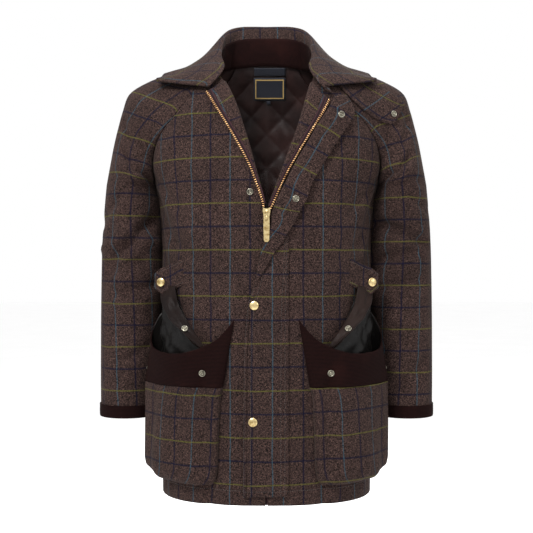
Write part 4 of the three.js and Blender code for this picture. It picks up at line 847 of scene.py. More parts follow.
def settle(places, side, gap):
    """Moves each place out until it stands this far off the cloth"""
    moved = places.copy()
    for i in np.ndindex(places.shape[:-1]):
        near, normal, _, _ = under[side].find_nearest(Vector(places[i]))
        height = (Vector(places[i]) - near).dot(normal)
        if height < gap[i]:
            moved[i] = places[i] + np.array(normal) * (gap[i] - height)
    return moved


# %% [markdown]
# ## Lapels and zip
# The facing starts inside the front, turns over its edge and lies on it. The zip tape lies along
# it, and its teeth stand on the tape's edge.


# %% Facings and tapes
def rounded(path, count, softness=2):
    """A line through these places, evenly spaced and with its corners softened"""
    path = np.asarray(path, float)
    length = run(path[None], 1)[0]
    at = np.linspace(0, length[-1], count)
    line = np.stack([np.interp(at, length, path[:, k]) for k in range(path.shape[1])], -1)
    for _ in range(softness):
        line[1:-1] = (line[:-2] + 2 * line[1:-1] + line[2:]) / 4
    return line


def lapel_strip(side, ts, path, count, softness=2):
    """A strip along the front edge, from sections in millimetres across it and off the cloth"""
    rows, across, along = [], [], []
    t = np.asarray(ts)
    roll_x, roll_z, zip_x, zip_z = (read(LAPEL[side], c, "t", t) for c in LAPEL_COLUMNS.split()[1:])
    length = run(point(roll_x, 0, roll_z)[None], 1)[0]
    lean = unit(np.gradient(point(roll_x, 0, roll_z), axis=0))
    for i in range(len(t)):
        wide, fall = zip_x[i] - roll_x[i], zip_z[i] - roll_z[i]
        line = rounded(path(wide), count, softness)
        s, h = line[:, 0], line[:, 1]
        down = roll_z[i] + fall * np.maximum(0, s) / max(wide, 1)
        rows.append(on_front(roll_x[i] + s, down, h))
        across.append(s * lean[i, 2])
        along.append(length[i] + s * lean[i, 0])
    return np.array(rows), np.array(across), np.array(along)


LAPEL_T = np.linspace(0.6, 7.55, 64)
CHAIN_HALF = 2.4


def facing_path(w):
    return [(7, -5.2), (0.6, -5), (-2.4, -1.2), (0.6, 2.8), (mix(0.6, w, 0.5), 2.9), (w + 2.6, 2.6)]


def tape_path(w):
    return [(w - CHAIN_HALF - 0.3 - min(5, 1.5 + 0.3 * w), 4.5), (w + CHAIN_HALF, 4.3)]


def chain_path(w):
    return [(w - CHAIN_HALF, 5.1), (w + CHAIN_HALF, 5.1)]


chains = {}
for side, word in SIDES:
    strip, across, along = lapel_strip(side, LAPEL_T, facing_path, 26)
    cloth("facing_" + word, on_side(side, strip), across, along, [TWEED], 2, side == RIGHT,
          middle=True, phase=(14, 4))
    strip, across, along = lapel_strip(side, LAPEL_T, tape_path, 8, 0)
    cloth("zip_tape_" + word, on_side(side, strip), run(strip, 1), along, [TAPE], 0.7,
          side == RIGHT, middle=True)
    chains[side], _, _ = lapel_strip(side, np.linspace(0.45, 7.6, 200), chain_path, 3, 0)

# %% [markdown]
# Zip teeth and stitches repeat hundreds of times along a line. Geometry Nodes puts one small
# shape on each point of a guide mesh, turned by the attribute "turn" that the guide carries. The
# shape's sizes are named inputs, and a fixed seed varies its size a little.


# %% A Geometry Nodes tree for what repeats along a line
def repeat_tree(name, round_piece):
    tree = bpy.data.node_groups.new(name, "GeometryNodeTree")
    made = {}
    tree.interface.new_socket("Geometry", in_out="INPUT", socket_type="NodeSocketGeometry")
    for label, value in (("Length", 2.0), ("Width", 1.0), ("Height", 1.0), ("Unevenness", 0.1)):
        socket = tree.interface.new_socket(label, in_out="INPUT", socket_type="NodeSocketFloat")
        socket.default_value = value
        made[label] = socket.identifier
    for label, kind in (("Seed", "NodeSocketInt"), ("Finish", "NodeSocketMaterial")):
        made[label] = tree.interface.new_socket(label, in_out="INPUT", socket_type=kind).identifier
    tree.interface.new_socket("Geometry", in_out="OUTPUT", socket_type="NodeSocketGeometry")
    given = add_node(tree, "NodeGroupInput").outputs
    axes = {i: given[k] for i, k in enumerate(("Length", "Width", "Height"))}
    sizes = add_node(tree, "ShaderNodeCombineXYZ", None, axes).outputs[0]
    if round_piece:
        inputs = {"Segments": 6, "Rings": 4, "Radius": 0.5}
        shape = add_node(tree, "GeometryNodeMeshUVSphere", None, inputs).outputs[0]
    else:
        shape = add_node(tree, "GeometryNodeMeshCube", None, {"Size": (1, 1, 1)}).outputs[0]
        inputs = {"Mesh": shape, "Level": 1, "Edge Crease": 0.75}
        shape = add_node(tree, "GeometryNodeSubdivisionSurface", None, inputs).outputs[0]
    inputs = {"Geometry": shape, "Scale": sizes}
    shape = add_node(tree, "GeometryNodeTransform", None, inputs).outputs[0]
    turn = add_node(tree, "GeometryNodeInputNamedAttribute", {"data_type": "FLOAT_VECTOR"},
                    {"Name": "turn"}).outputs["Attribute"]
    turn = add_node(tree, "FunctionNodeEulerToRotation", None, {0: turn}).outputs[0]
    least = add_node(tree, "ShaderNodeMath", {"operation": "SUBTRACT"},
                     {0: 1.0, 1: given["Unevenness"]})
    vary = add_node(tree, "FunctionNodeRandomValue", {"data_type": "FLOAT"})
    tree.links.new(least.outputs[0], vary.inputs[2])
    tree.links.new(given["Seed"], vary.inputs["Seed"])
    inputs = {"Points": given["Geometry"], "Instance": shape, "Rotation": turn,
              "Scale": vary.outputs[1]}
    placed = add_node(tree, "GeometryNodeInstanceOnPoints", None, inputs).outputs[0]
    whole = add_node(tree, "GeometryNodeRealizeInstances", None, {"Geometry": placed}).outputs[0]
    smooth_it = add_node(tree, "GeometryNodeSetShadeSmooth", None, {"Geometry": whole}).outputs[0]
    coated = add_node(tree, "GeometryNodeSetMaterial", None,
                      {"Geometry": smooth_it, "Material": given["Finish"]}).outputs[0]
    add_node(tree, "NodeGroupOutput", None, {0: coated})
    return tree, made


TOOTH_TREE = repeat_tree("zip_tooth", False)
STITCH_TREE = repeat_tree("stitch", True)


def repeat_along(name, tree, places, forward, up, sizes, finish, seed=1, uneven=0.1):
    """One plain mesh of the tree's shape at each place, its length forward and its height up"""
    group, inputs = tree
    forward, up = unit(forward), unit(up)
    side_ways = unit(np.cross(up, forward))
    lift = np.cross(forward, side_ways)
    turns = [Matrix(np.stack([f, s, u], -1)).to_euler() for f, s, u in zip(forward, side_ways, lift)]
    guide = bpy.data.meshes.new(name)
    guide.from_pydata((places * MM).tolist(), [], [])
    turn = guide.attributes.new("turn", "FLOAT_VECTOR", "POINT")
    turn.data.foreach_set("vector", np.array([tuple(t) for t in turns], np.float32).ravel())
    piece = bpy.data.objects.new(name, guide)
    scene.collection.objects.link(piece)
    repeats = piece.modifiers.new("repeats", "NODES")
    repeats.node_group = group
    for label, value in zip(("Length", "Width", "Height"), sizes):
        repeats[inputs[label]] = value * MM
    repeats[inputs["Unevenness"]], repeats[inputs["Seed"]] = uneven, seed
    repeats[inputs["Finish"]] = finish
    solid = piece.evaluated_get(bpy.context.evaluated_depsgraph_get())
    piece_mesh = bpy.data.meshes.new_from_object(solid)
    piece.modifiers.clear()
    piece.data = piece_mesh
    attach(piece, "jacket")
    return piece


# %% [markdown]
# Each brass tooth is a small block clamped over the tape's edge. They are drawn one every 3.8 mm,
# a little coarser than the 3 mm of a real jacket zip, so that the row reads as separate teeth.
# Below the slider the two rows lie in each other, so the teeth there alternate left and right.


# %% Zip teeth
def spaced(line, pitch, start=0.0):
    """Places every pitch along a line, and the direction of the line there"""
    length = run(line[None], 1)[0]
    at = np.arange(start, length[-1], pitch)
    places = np.stack([np.interp(at, length, line[:, k]) for k in range(3)], -1)
    ahead = np.stack([np.interp(at + 0.5, length, line[:, k]) for k in range(3)], -1)
    behind = np.stack([np.interp(at - 0.5, length, line[:, k]) for k in range(3)], -1)
    return places, unit(ahead - behind)


TOOTH_PITCH, TOOTH = 3.8, (4.6, 1.9, 2.2)
CLOSED_STEP, CLOSED_TOOTH = 1.55, (3.2, 1.3, 3.4)
CLOSED_FOOT, CLOSED_TOP = -752, -314
for side, word in SIDES:
    grid = on_side(side, chains[side])
    places, ahead = spaced(grid[:, 1], TOOTH_PITCH)
    out = normals(grid)[:, 1] * side
    nearest = [int(np.argmin(np.linalg.norm(grid[:, 1] - p, axis=-1))) for p in places]
    wide = grid[nearest, 2] - grid[nearest, 0]
    teeth = repeat_along("zip_chain_" + word + "_teeth", TOOTH_TREE, places, wide, out[nearest],
                         TOOTH, TEETH, uneven=0.06)
    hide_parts("zip_chain_" + word)
closed_z = np.arange(CLOSED_FOOT, CLOSED_TOP, CLOSED_STEP)
closed_x = np.where(np.arange(len(closed_z)) % 2, 0.9, -0.9)
places = on_front(np.full(len(closed_z), 0.001), closed_z, -0.9) + point(closed_x, 0, 0)
along = np.tile([1.0, 0, 0], (len(places), 1))
up = body_normal(np.zeros(len(places)), closed_z)
teeth = repeat_along("zip_closed_teeth", TOOTH_TREE, places, along, up, CLOSED_TOOTH, TEETH,
                     uneven=0.03)
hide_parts("zip_closed")
tape_z = np.linspace(-774.6, -316, 90)[:, None]
tape_x = np.linspace(-13, 13, 9)[None, :]
tape = on_front(tape_x + 0.001, tape_z, -3.4)
mesh = grid_mesh("zip_closed_tape", tape, tape_x + 0 * tape_z, tape_z + 0 * tape_x, False)
piece = show("zip_closed_tape", mesh, [TAPE])
thicken(piece, 0.8)
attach(piece, "jacket")
print("teeth:", len(places))

# %% [markdown]
# ## Storm flap
# The flap is sewn down beside the zip on the wearer's left. Below, it lies flat over the zip.
# Above, it is folded back on itself, so its inside shows and its grain follows the fold.

# %% Storm flap
FLAP_WIDE = 73
UNDER = 22  # columns of its grid in the layer that lies below
FOLDED_ON = 17  # how far the check has moved on where the flap is folded back
FLAP = sections(
    "z fold edge",
    [
        (-98, 114, 133), (-115, 106, 143), (-129, 98, 145), (-150, 84.5, 133), (-171, 73, 119),
        (-190, 61.5, 107), (-209, 50.5, 96), (-227, 41, 85), (-245, 32, 74), (-273, 18.5, 65),
        (-287, 12.5, 57), (-300, 9.5, 51), (-315, 8.5, 43), (-330, 2, 34), (-347, -4, 24),
        (-366, -9, 10), (-393, -15, -5), (-416, -20, -15), (-442, -28, -28), (-470, -32, -32),
        (-520, -35, -35), (-620, -36.5, -36.5), (-720, -37, -37), (-760, -37, -37),
    ],
)


def flap_section(z, fold, edge):
    over = max(edge - fold, 0)
    seam = min(fold + FLAP_WIDE - over, max(edge - 12, 36))
    open_ = float(smooth(over / 12))
    under_x = mix(seam, fold + min(3, over * 0.3), np.linspace(0, 0.94, UNDER))
    under_h = 1.9 + 1.5 * smooth((seam - under_x) / 12)
    nose = [(fold + mix(5 - k, dx, open_), mix(3.4, 3.4 + dh, open_))
            for k, (dx, dh) in enumerate([(0.9, 0.2), (0, 1.7), (0.9, 3.1)])]
    top_x = [mix(fold + 1.9 - 0.09 * k, mix(fold + 1.4, edge, k / 19), open_) for k in range(20)]
    top_h = [mix(3.4, 6.9 + 0.7 * math.sin(math.pi * k / 19), open_) for k in range(20)]
    x = np.concatenate([under_x, [n[0] for n in nose], top_x])
    h = np.concatenate([under_h, [n[1] for n in nose], top_h])
    h[1:-1] = (h[:-2] + 2 * h[1:-1] + h[2:]) / 4
    h = h + (1 - open_) * (2.3 + math.sin(z / 41 + 2)) * np.exp(-((np.asarray(x) - fold) / 8) ** 2)
    across = np.concatenate([seam - under_x, [seam - fold] * 3, seam - fold + np.subtract(top_x, fold)])
    return x, h, across, np.maximum(0, x - fold) * (np.arange(len(x)) >= UNDER)


flap_z = np.linspace(-760, -98, 150)
fold_x, edge_x = read(FLAP, "fold", "z", flap_z), read(FLAP, "edge", "z", flap_z)
fold_run = run(point(fold_x, 0, flap_z)[None], 1)[0]
fold_grain = fold_x - soften(fold_x.copy(), 120)  # the check follows the fold, not its small bends
lean = unit(np.gradient(point(fold_x, 0, flap_z), axis=0))
rows, across, along = [], [], []
for i, z in enumerate(flap_z):
    x, h, over_it, past = flap_section(z, fold_x[i], edge_x[i])
    rows.append(on_front(np.where(x == 0, 0.001, x), np.full(len(x), z), h))
    folded = np.arange(len(x)) > UNDER
    shift = np.where(folded, FOLDED_ON + HALF_CHECK + fold_grain[i], 0)
    across.append(over_it + shift - past * (1 - lean[i, 2]))
    along.append(fold_run[i] + past * lean[i, 0])
flap_grid = np.array(rows)
cloth("storm_flap", flap_grid, -np.array(across), np.array(along), [TWEED], 2.5, True,
      middle=True, phase=FLAP_CHECK)
print("storm flap:", tally["storm_flap"])

# %% [markdown]
# ## Collar
# The collar stands up from the neck seam, turns over a soft crest and falls outwards onto the
# shoulders. In front it rolls out with the lapels.

# %% Collar and neck band
COLLAR = sections(
    "u crest_x crest_y crest_z edge_x edge_y edge_z wide",
    [
        (0, 0, 100, 71, 0, 136, -16, 15), (0.1, 24, 98, 71, 34, 134, -17, 15),
        (0.2, 48, 92, 69, 68, 127, -19, 15), (0.3, 68, 78, 61, 97, 114, -24, 14),
        (0.4, 80, 58, 47, 124, 94, -31, 13), (0.5, 86, 35, 31, 146, 66, -37, 12),
        (0.6, 87, 10, 14, 163, 34, -41, 11), (0.7, 87, -18, -4, 176, 0, -45, 10),
        (0.8, 85, -52, -27, 183, -30, -50, 9), (0.88, 83, -79, -46, 188, -52, -56, 8),
        (0.94, 92, -97, -64, 190, -66, -60, 7), (1, 106, -106, -80, 189, -74, -65, 6),
    ],
)


def neckline(side):
    places, ups = [], []
    half = (back[0].shape[1] - 1) // 2
    for grid, columns, turn in (
        (back[0], range(half, back[0].shape[1]), -1),
        (sleeves[side], range(len(AROUND) - 2, 0, -1), 1),
        (fronts[side][0], range(60, -1, -1), 1),
    ):
        out = normals(grid)[-1] * turn
        for j in columns:
            places.append(grid[-1, j] - out[j] * CLOTH / 2)
            ups.append(unit(grid[-1, j] - grid[-9, j]))
    places = np.array(places)
    length = run(places[None], 1)[0]
    return length / length[-1], places, np.array(ups)


necks = {side: neckline(side) for side, _ in SIDES}


def collar_point(u, v, side):
    u, v = np.broadcast_arrays(np.asarray(u, float), np.asarray(v, float))
    s = np.abs(u)
    at = {name: read(COLLAR, name, "u", s) for name in COLLAR}
    share, places, ups = necks[side]
    where = np.minimum(1, s / 0.8)
    neck = np.stack([np.interp(where, share, places[:, k]) for k in range(3)], -1)
    up = unit(np.stack([np.interp(where, share, ups[:, k]) for k in range(3)], -1))
    start = neck + up * 2.9
    w = np.clip((s - 0.8) / 0.2, 0, 1)
    roll_x, roll_z, zip_x, zip_z = (LAPEL[side][c][8] for c in LAPEL_COLUMNS.split()[1:])
    seam = on_front(mix(roll_x, zip_x, w), mix(roll_z + 4, zip_z + 0.5, w),
                    4.4 + 4.2 * np.sin(math.pi * np.minimum(1, w * 1.4) * 0.5))
    start = mix(start, seam, smooth((s - 0.8) / 0.04)[..., None])
    crest = point(at["crest_x"], at["crest_y"], at["crest_z"])
    edge = point(at["edge_x"], at["edge_y"], at["edge_z"])
    middle = (crest * 8 - start - edge) / 6
    across = unit((edge - start) * np.array([1, 1, 0])) * at["wide"][..., None]
    return bezier(start, middle - across, middle + across, edge, v)


collar_u, collar_v = np.linspace(-1, 1, 141), np.linspace(0, 1, 34)
halves = []
for side, _ in SIDES:
    u = collar_u[collar_u < 0] if side == RIGHT else collar_u[collar_u >= 0]
    grid = collar_point(u[:, None], collar_v[None, :], side)
    gap = np.broadcast_to(np.where(collar_v > 0.5, 2.4 + 2 * (collar_v - 0.5), -99), grid.shape[:2])
    halves.append(on_side(side, settle(grid, side, gap)))
collar_grid = even(np.concatenate(halves), 1)
across = run(collar_grid, 0)
across = across - across[[len(collar_u) // 2]]
cloth("collar", collar_grid, across, run(collar_grid, 1), [TWEED], 2.6, False,
      middle=True, phase=(12, 8))

band_u, band_v = np.linspace(-0.6, 0.6, 73), np.linspace(-0.035, 0.185, 10)
halves = []
for side, _ in SIDES:
    u = band_u[band_u < 0] if side == RIGHT else band_u[band_u >= 0]
    halves.append(on_side(side, collar_point(u[:, None], band_v[None, :], side)))
band = np.concatenate(halves)
band = band - normals(band) * 3.3
cloth("neck_band", band, run(band, 0), run(band, 1), [CORDUROY], 1.4, False,
      middle=True)
print("collar:", tally["collar"])

# %% [markdown]
# ## Lining and labels
# The lining is quilted: it swells between its stitch lines, which cross in diamonds. The labels
# are plain, with only a woven border on the larger one.

# %% Quilted lining and labels
DIAMOND = 65  # distance between two stitch lines that run the same way
LINING_FOOT, PUFF = -390, 3.2
lining_rows = np.concatenate([np.linspace(LINING_FOOT, ARMPIT_Z, 40),
                              read(CAP, "back_z", "t", np.linspace(10, 18.9, 62)[1:])])


def lining_side(z):
    t = np.interp(z, CAP["back_z"], CAP["t"])
    return np.where(z <= ARMPIT_Z, math.pi / 2, angle_at(read(CAP, "back_x", "t", t), z, True))


u = np.linspace(-0.778, 0.778, 110)[None, :]
crown = (8 * smooth((np.interp(lining_rows, CAP["back_z"], CAP["t"]) - 17) / 2))[:, None]
phi = math.pi - (math.pi - lining_side(lining_rows)[:, None]) * u
z = lining_rows[:, None] + crown * (1 - u * u)
flat_x, flat_z = on_body(phi, z)[..., 0], z
slants = (flat_x * 1.05 + flat_z, flat_x * 1.05 - flat_z)
ridges = [np.abs(np.sin(math.pi * d / DIAMOND)) for d in slants]
puff = np.minimum(*ridges) ** 0.55
crumple = np.sin(flat_x / 5.5 + 1.5 * np.sin(flat_z / 23))
creased = 0.5 * crumple * np.sin(flat_x / 41 + flat_z / 57) ** 2
flat_top = smooth((-8 - z) / 18)  # under the neck band the lining lies flat
quilt = on_body(phi, z, -CLOTH - 2.4 - 0.7 * flat_top - (PUFF * puff + creased) * flat_top)
cloth("back_lining", quilt, round_body(phi, z) - round_body(math.pi + 0 * phi, z), up_body(phi, z),
      [QUILTED], 1.2, False, middle=True)


def label(node, x0, x1, z0, z1, deep, finish):
    z, x = np.linspace(z0, z1, 9)[:, None], np.linspace(x0, x1, 17)[None, :]
    grid = on_body(angle_at(x + 0.001, z, True), z + 0 * x, deep)
    cloth(node, grid, x - x0 + 0 * z, z - z0 + 0 * x, [finish], 0.9, False,
          middle=True)


label("label", -25, 37, -64, -22, -CLOTH - 7.4, LABEL)
label("label_upper", -24, 37, -19, -7, -CLOTH - 6.4, UPPER_LABEL)
print("lining:", tally["back_lining"])

# %% [markdown]
# ## Pockets
# A bellows pocket is a bag that stands off the front, with a floor and a side. A corduroy band
# goes round its mouth. Its outer front edge is pinched and stitched into a ridge.

# %% Pocket bags and bands
POCKET_INNER = sections("z x", [
    (-748, 95), (-741, 88), (-732, 83), (-715, 80), (-667, 78), (-600, 75), (-580, 70),
    (-508, 58), (-470, 52), (-430, 50)])
POCKET_OUTER, POCKET_FOOT, BAND_Z = math.radians(73.5), -745, -583
BAG_U = [0, 0.008, 0.05, 0.12, 0.25, 0.38, 0.5, 0.65, 0.8, 0.93, 0.965, 0.992, 1]
BAG_DEEP = [2.6, 10, 15, 17.5, 21, 23, 25, 27.2, 29.5, 32.5, 29, 14, 2.6]
MOUTH_Z = [-472, -474, -487, -505, -519, -527, -529, -527, -523, -508, -492, -470, -462]
MOUTH_DEEP = [3, 4, 7.5, 12, 20, 27, 30, 31, 29, 26, 22, 10, 3]
STEPS = [3, 3, 4, 6, 6, 5, 7, 7, 7, 4, 5, 4]
stretches = [np.linspace(BAG_U[k], BAG_U[k + 1], n, endpoint=False) for k, n in enumerate(STEPS)]
bag_u = np.concatenate(stretches + [[1.0]])
bag_deep = soften(np.interp(bag_u, BAG_U, BAG_DEEP))
mouth_z, mouth_deep = (soften(np.interp(bag_u, BAG_U, row), 3) for row in (MOUTH_Z, MOUTH_DEEP))
ridge = 2.2 * np.exp(-(((bag_u - 0.935) / 0.014) ** 2))  # the pinched front edge of the side panel
bag_u = soften(bag_u.copy(), 1)


def pocket_phi(u, z):
    return mix(angle_at(read(POCKET_INNER, "x", "z", z), z), POCKET_OUTER, u)


for side, word in SIDES:
    v = np.linspace(0, 1, 60)
    floor = soften(np.interp(v, [0, 0.04, 0.1, 0.18, 1], [0, 0.66, 0.92, 1, 1]))
    turn_z = [POCKET_FOOT, POCKET_FOOT + 1.5, POCKET_FOOT + 10, BAND_Z]
    z = np.interp(v, [0, 0.04, 0.1, 1], turn_z)[:, None]
    rise = 12 * smooth((bag_u - 0.68) / 0.32) * (BAND_Z - z) / (BAND_Z - POCKET_FOOT)
    sag = 1.5 * np.sin(bag_u * 9 + z / 31 + side) * np.sin(math.pi * bag_u) * floor[:, None]
    deep = 2.6 + (bag_deep - 2.6 + ridge + sag) * floor[:, None]
    grid = on_body(pocket_phi(bag_u[None, :], z), z + rise, deep)
    wide = run(grid, 1)
    cloth("pocket_" + word, on_side(side, grid), wide, z + rise + 0 * wide,
          [TWEED, SATIN], 2.0, side == RIGHT, phase=POCKET_CHECK[side])
    v = np.linspace(0, 1, 22)[:, None]
    z = mix(BAND_Z + 0.2, mouth_z[None, :], v)
    deep = mix(bag_deep + ridge * (1 - v), mouth_deep, smooth(v))
    deep = deep + 1.2 * np.sin(bag_u * 11 + 5 * v + side) * np.sin(math.pi * bag_u) * v
    grid = on_body(pocket_phi(bag_u[None, :], z), z, deep)
    cloth("pocket_band_" + word, on_side(side, grid), run(grid, 1), run(grid, 0),
          [CORDUROY, SATIN], 2.0, side == RIGHT)
print("pocket:", tally["pocket_left"], "band:", tally["pocket_band_left"])

# %% [markdown]
# The pocket flap is lined with satin and pushed down into the mouth, where it buckles. More
# satin shows below it, crumpled. Both are soft grids laid on the front, with uneven ripples.

# %% Pocket flaps and their lining
FLAP_SPINE = sections("t x z deep wide bow", [
    (0, 161, -417, 6, 13, 1), (1, 155, -440, 10, 18, 6), (2, 143, -464, 14, 21, 8),
    (3, 129, -483, 17, 22, 8), (4, 116, -502, 13, 19, 5), (5, 105, -520, 6.5, 14, 1.5)])
LINER = sections("t z from_ deep", [(0, -548, 98, 6), (1, -530, 96, 5), (2, -510, 110, 3),
                                    (3, -488, 124, 3), (4, -464, 138, 3), (5, -442, 148, 2.6)])


def pocket_flap_point(t, a, side, lift=0.0):
    at = {name: read(FLAP_SPINE, name, "t", t) for name in FLAP_SPINE}
    down = np.minimum(1, t)
    x = at["x"] + a * at["wide"] * 0.86
    z = at["z"] + a * at["wide"] * 0.5 * down
    ripple = -2 * np.cos(2.4 * a + t) * down
    return x, z, at["deep"] + at["bow"] * (1 - a * a) + ripple + lift


for side, word in SIDES:
    t, a = np.meshgrid(np.linspace(0, 5, 44), np.linspace(-1, 1, 30), indexing="ij")
    x, z, height = pocket_flap_point(t, a, side, 1.2)
    crumple = 1.5 * np.sin(5.1 * a + 2.3 * t + side) + np.sin(9 * a - 3 * t)
    height = height + crumple * np.minimum(1, t) * (1 - a * a)
    grid = even(laid(x, z, side, height), 2)
    cloth("pocket_flap_" + word, on_side(side, grid), run(grid, 1), run(grid, 0),
          [FLAP_SATIN], 2.2, side == RIGHT, middle=True)
    t, u = np.meshgrid(np.linspace(0, 5, 44), np.linspace(0, 1, 46), indexing="ij")
    z = read(LINER, "z", "t", t)
    x = body_bare(mix(angle_at(read(LINER, "from_", "t", t), z), math.radians(69), u), z)[..., 0]
    buckle = 1.6 + 2.0 * np.sin(9 * u + 1.7 * t) + 1.7 * np.sin(17 * u - 3.1 * t + side)
    buckle = buckle + 0.9 * np.sin(29 * u + 2 * t)
    grid = even(laid(x, z, side, 1.2 + u * (read(LINER, "deep", "t", t) + buckle)), 2)
    cloth("pocket_liner_" + word, on_side(side, grid), run(grid, 1), run(grid, 0),
          [SATIN], 1.0, side == RIGHT, middle=True)

# %% [markdown]
# ## Tabs
# Each waist tab leaves the front above a pocket and stands off it towards its cap. The throat
# tab hangs from under the left side of the collar. Their ends are cut to a blunt point.

# %% Waist tabs and throat tab
TAB = sections("l x y", [(0, 140, -104), (0.3, 155, -94.5), (0.5, 165, -89), (0.72, 177, -83.5),
                         (0.86, 184, -81), (1, 191, -79)])
TAB_LONG = 51  # from side to side, as seen from the front
TAB_FOOT = ([0, 0.3, 0.5, 0.72, 1], [-415, -423, -428, -431.5, -421])
TAB_TOP = ([0, 0.3, 0.8, 1], [-371, -377, -388, -396])


def tab_place(l, z, height, side):
    """Sewn to the front at its inner end, and standing clear of the side at its outer one"""
    l, z = np.broadcast_arrays(np.asarray(l, float), np.asarray(z, float))
    x, y = (read(TAB, c, "l", l) for c in "xy")
    before, after = np.maximum(0, l - 0.05), np.minimum(1, l + 0.05)
    dx, dy = (read(TAB, c, "l", after) - read(TAB, c, "l", before) for c in "xy")
    out = unit(point(dy, -dx, 0)) * np.broadcast_to(height, l.shape)[..., None]
    sewn = laid(np.minimum(x, 156), z, side, height + 0.7 - 2.6 * (1 - smooth(l / 0.16)))
    return mix(sewn, point(x, y, z) + out, smooth(l / 0.3)[..., None])


THROAT = sections("l low_x low_z high_x high_z", [
    (0, 122, -76, 158, -52), (0.25, 143, -101, 180, -64), (0.5, 166, -119, 202, -76),
    (0.75, 192, -134, 224, -88), (0.95, 214, -139, 238, -97), (1, 221, -137, 240, -101)])

tabs = {}
for side, word in SIDES:
    l, w = np.meshgrid(np.linspace(0, 1, 51), np.linspace(0, 1, 20), indexing="ij")
    z = mix(np.interp(l, *TAB_FOOT), np.interp(l, *TAB_TOP), w)
    grid = tab_place(l, z, 1.3 + 0.8 * np.sin(3 * l + 2 * w) * l, side)
    tabs[side] = on_side(side, grid)
    cloth("waist_tab_" + word, tabs[side], run(grid, 0), run(grid, 1), [TWEED], 2.5,
          side == LEFT, middle=True, phase=TAB_CHECK[side])
l, w = np.meshgrid(np.linspace(0, 1, 40), np.linspace(0, 1, 22), indexing="ij")
low_x, low_z, high_x, high_z = (read(THROAT, c, "l", l) for c in ("low_x", "low_z", "high_x", "high_z"))
throat = even(laid(mix(low_x, high_x, w), mix(low_z, high_z, w), LEFT, 3.0), 2)
cloth("throat_tab", throat, run(throat, 0), run(throat, 1), [TWEED], 2.5, False,
      middle=True, phase=(-30, -8))

# %% [markdown]
# ## Cuffs
# A strip of corduroy binds each sleeve end: it comes up 20 mm outside, goes round the rim and
# ends inside the sleeve.

# %% Cuff bindings
CUFF_TALL = 20
for side, word in SIDES:
    path = rounded([(CUFF_Z + CUFF_TALL, 1.2), (CUFF_Z + 8, 1.3), (CUFF_Z - 1.6, 1.0),
                    (CUFF_Z - 1.6, -CLOTH - 1), (CUFF_Z + CUFF_TALL, -CLOTH - 1.4)], 34, 1)
    around = AROUND[:-1][None, :]
    z, off = path[:, :1], path[:, 1:]
    t = np.interp(np.maximum(z, CUFF_Z), SLEEVE["z"], SLEEVE["t"]) + 0 * around
    ring = sleeve_bare(t, around + 0 * z)
    before, after = np.maximum(0, around - 0.02) + 0 * z, np.minimum(2, around + 0.02) + 0 * z
    step = sleeve_bare(t, after) - sleeve_bare(t, before)
    out = unit(np.cross(step, np.array([0, 0, 1.0])))
    ring[..., 2] = z
    grid = ring + out * off[..., None]
    cloth("cuff_" + word, on_side(side, grid), run(grid, 1), run(grid, 0), [CORDUROY],
          1.5, side == LEFT, ring=True, middle=True)
print("cuff:", tally["cuff_left"])

# %% [markdown]
# ## Caps, snaps and slider
# The caps and ring snaps are turned shapes: a profile of radius and height spun about the
# direction out of the cloth. The slider and its pull keep their CAD shape and get the brass.


# %% Turned snaps
def turned(node, profile, place, out, finish, sides=36):
    out = unit(np.asarray(out, float))
    first = unit(np.array([0, 0, 1.0]) - out * out[2])
    second = np.cross(out, first)
    turn = np.linspace(0, 2 * math.pi, sides, endpoint=False)[:, None]
    line = rounded(profile, 22, 1)
    ring = (np.cos(turn)[..., None] * first + np.sin(turn)[..., None] * second) * line[None, :, :1]
    grid = np.asarray(place) + ring + out * line[None, :, 1:]
    plain = 0 * turn.T + 0 * line[:, :1]
    mesh = grid_mesh(node + "_metal", grid.transpose(1, 0, 2), plain, plain, False, ring=True)
    piece = show(node + "_metal", mesh, [finish])
    cap_ends(piece, sides, len(line))
    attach(piece, "jacket")
    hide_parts(node)


def cap_ends(piece, sides, count):
    """Closes the small holes at the foot and top of a turned shape"""
    work = bmesh.new()
    work.from_mesh(piece.data)
    work.verts.ensure_lookup_table()
    for row in (0, count - 1):
        work.faces.new([work.verts[row * sides + j] for j in range(sides)]).smooth = False
    bmesh.ops.recalc_face_normals(work, faces=work.faces)
    work.to_mesh(piece.data)
    work.free()


CAP_PROFILE = [(6.2, 0), (7.6, 0.5), (7.7, 1.2), (7.2, 1.9), (5.8, 2.6), (3.8, 3.1), (1.6, 3.35),
               (0.1, 3.4)]
RING_PROFILE = [(5.6, 0), (5.9, 0.8), (5.4, 1.7), (4.6, 1.9), (3.9, 1.2), (3.6, 0.2), (2.6, 0.1),
                (2.4, 1.2), (1.9, 1.7), (1.2, 1.6), (0.9, 0.3), (0.1, 0.2)]
TINY_PROFILE = [(2.3, 0), (2.6, 0.5), (2.2, 1.1), (1.2, 1.4), (0.1, 1.4)]


def snap(node, place, side, profile, finish):
    """place(dx, dz) gives a point of the cloth near the snap, so two steps give its direction"""
    a, b, c = (np.asarray(place(*step), float) for step in ((0, 0), (2, 0), (0, 2)))
    out = unit(np.cross(b - a, c - a))
    turned(node, profile, a, -out if out[1] > 0 else out, finish)


def at_front(x, z, off, side=LEFT):
    return lambda dx, dz: on_side(side, on_front(float(x + dx), float(z + dz), off))


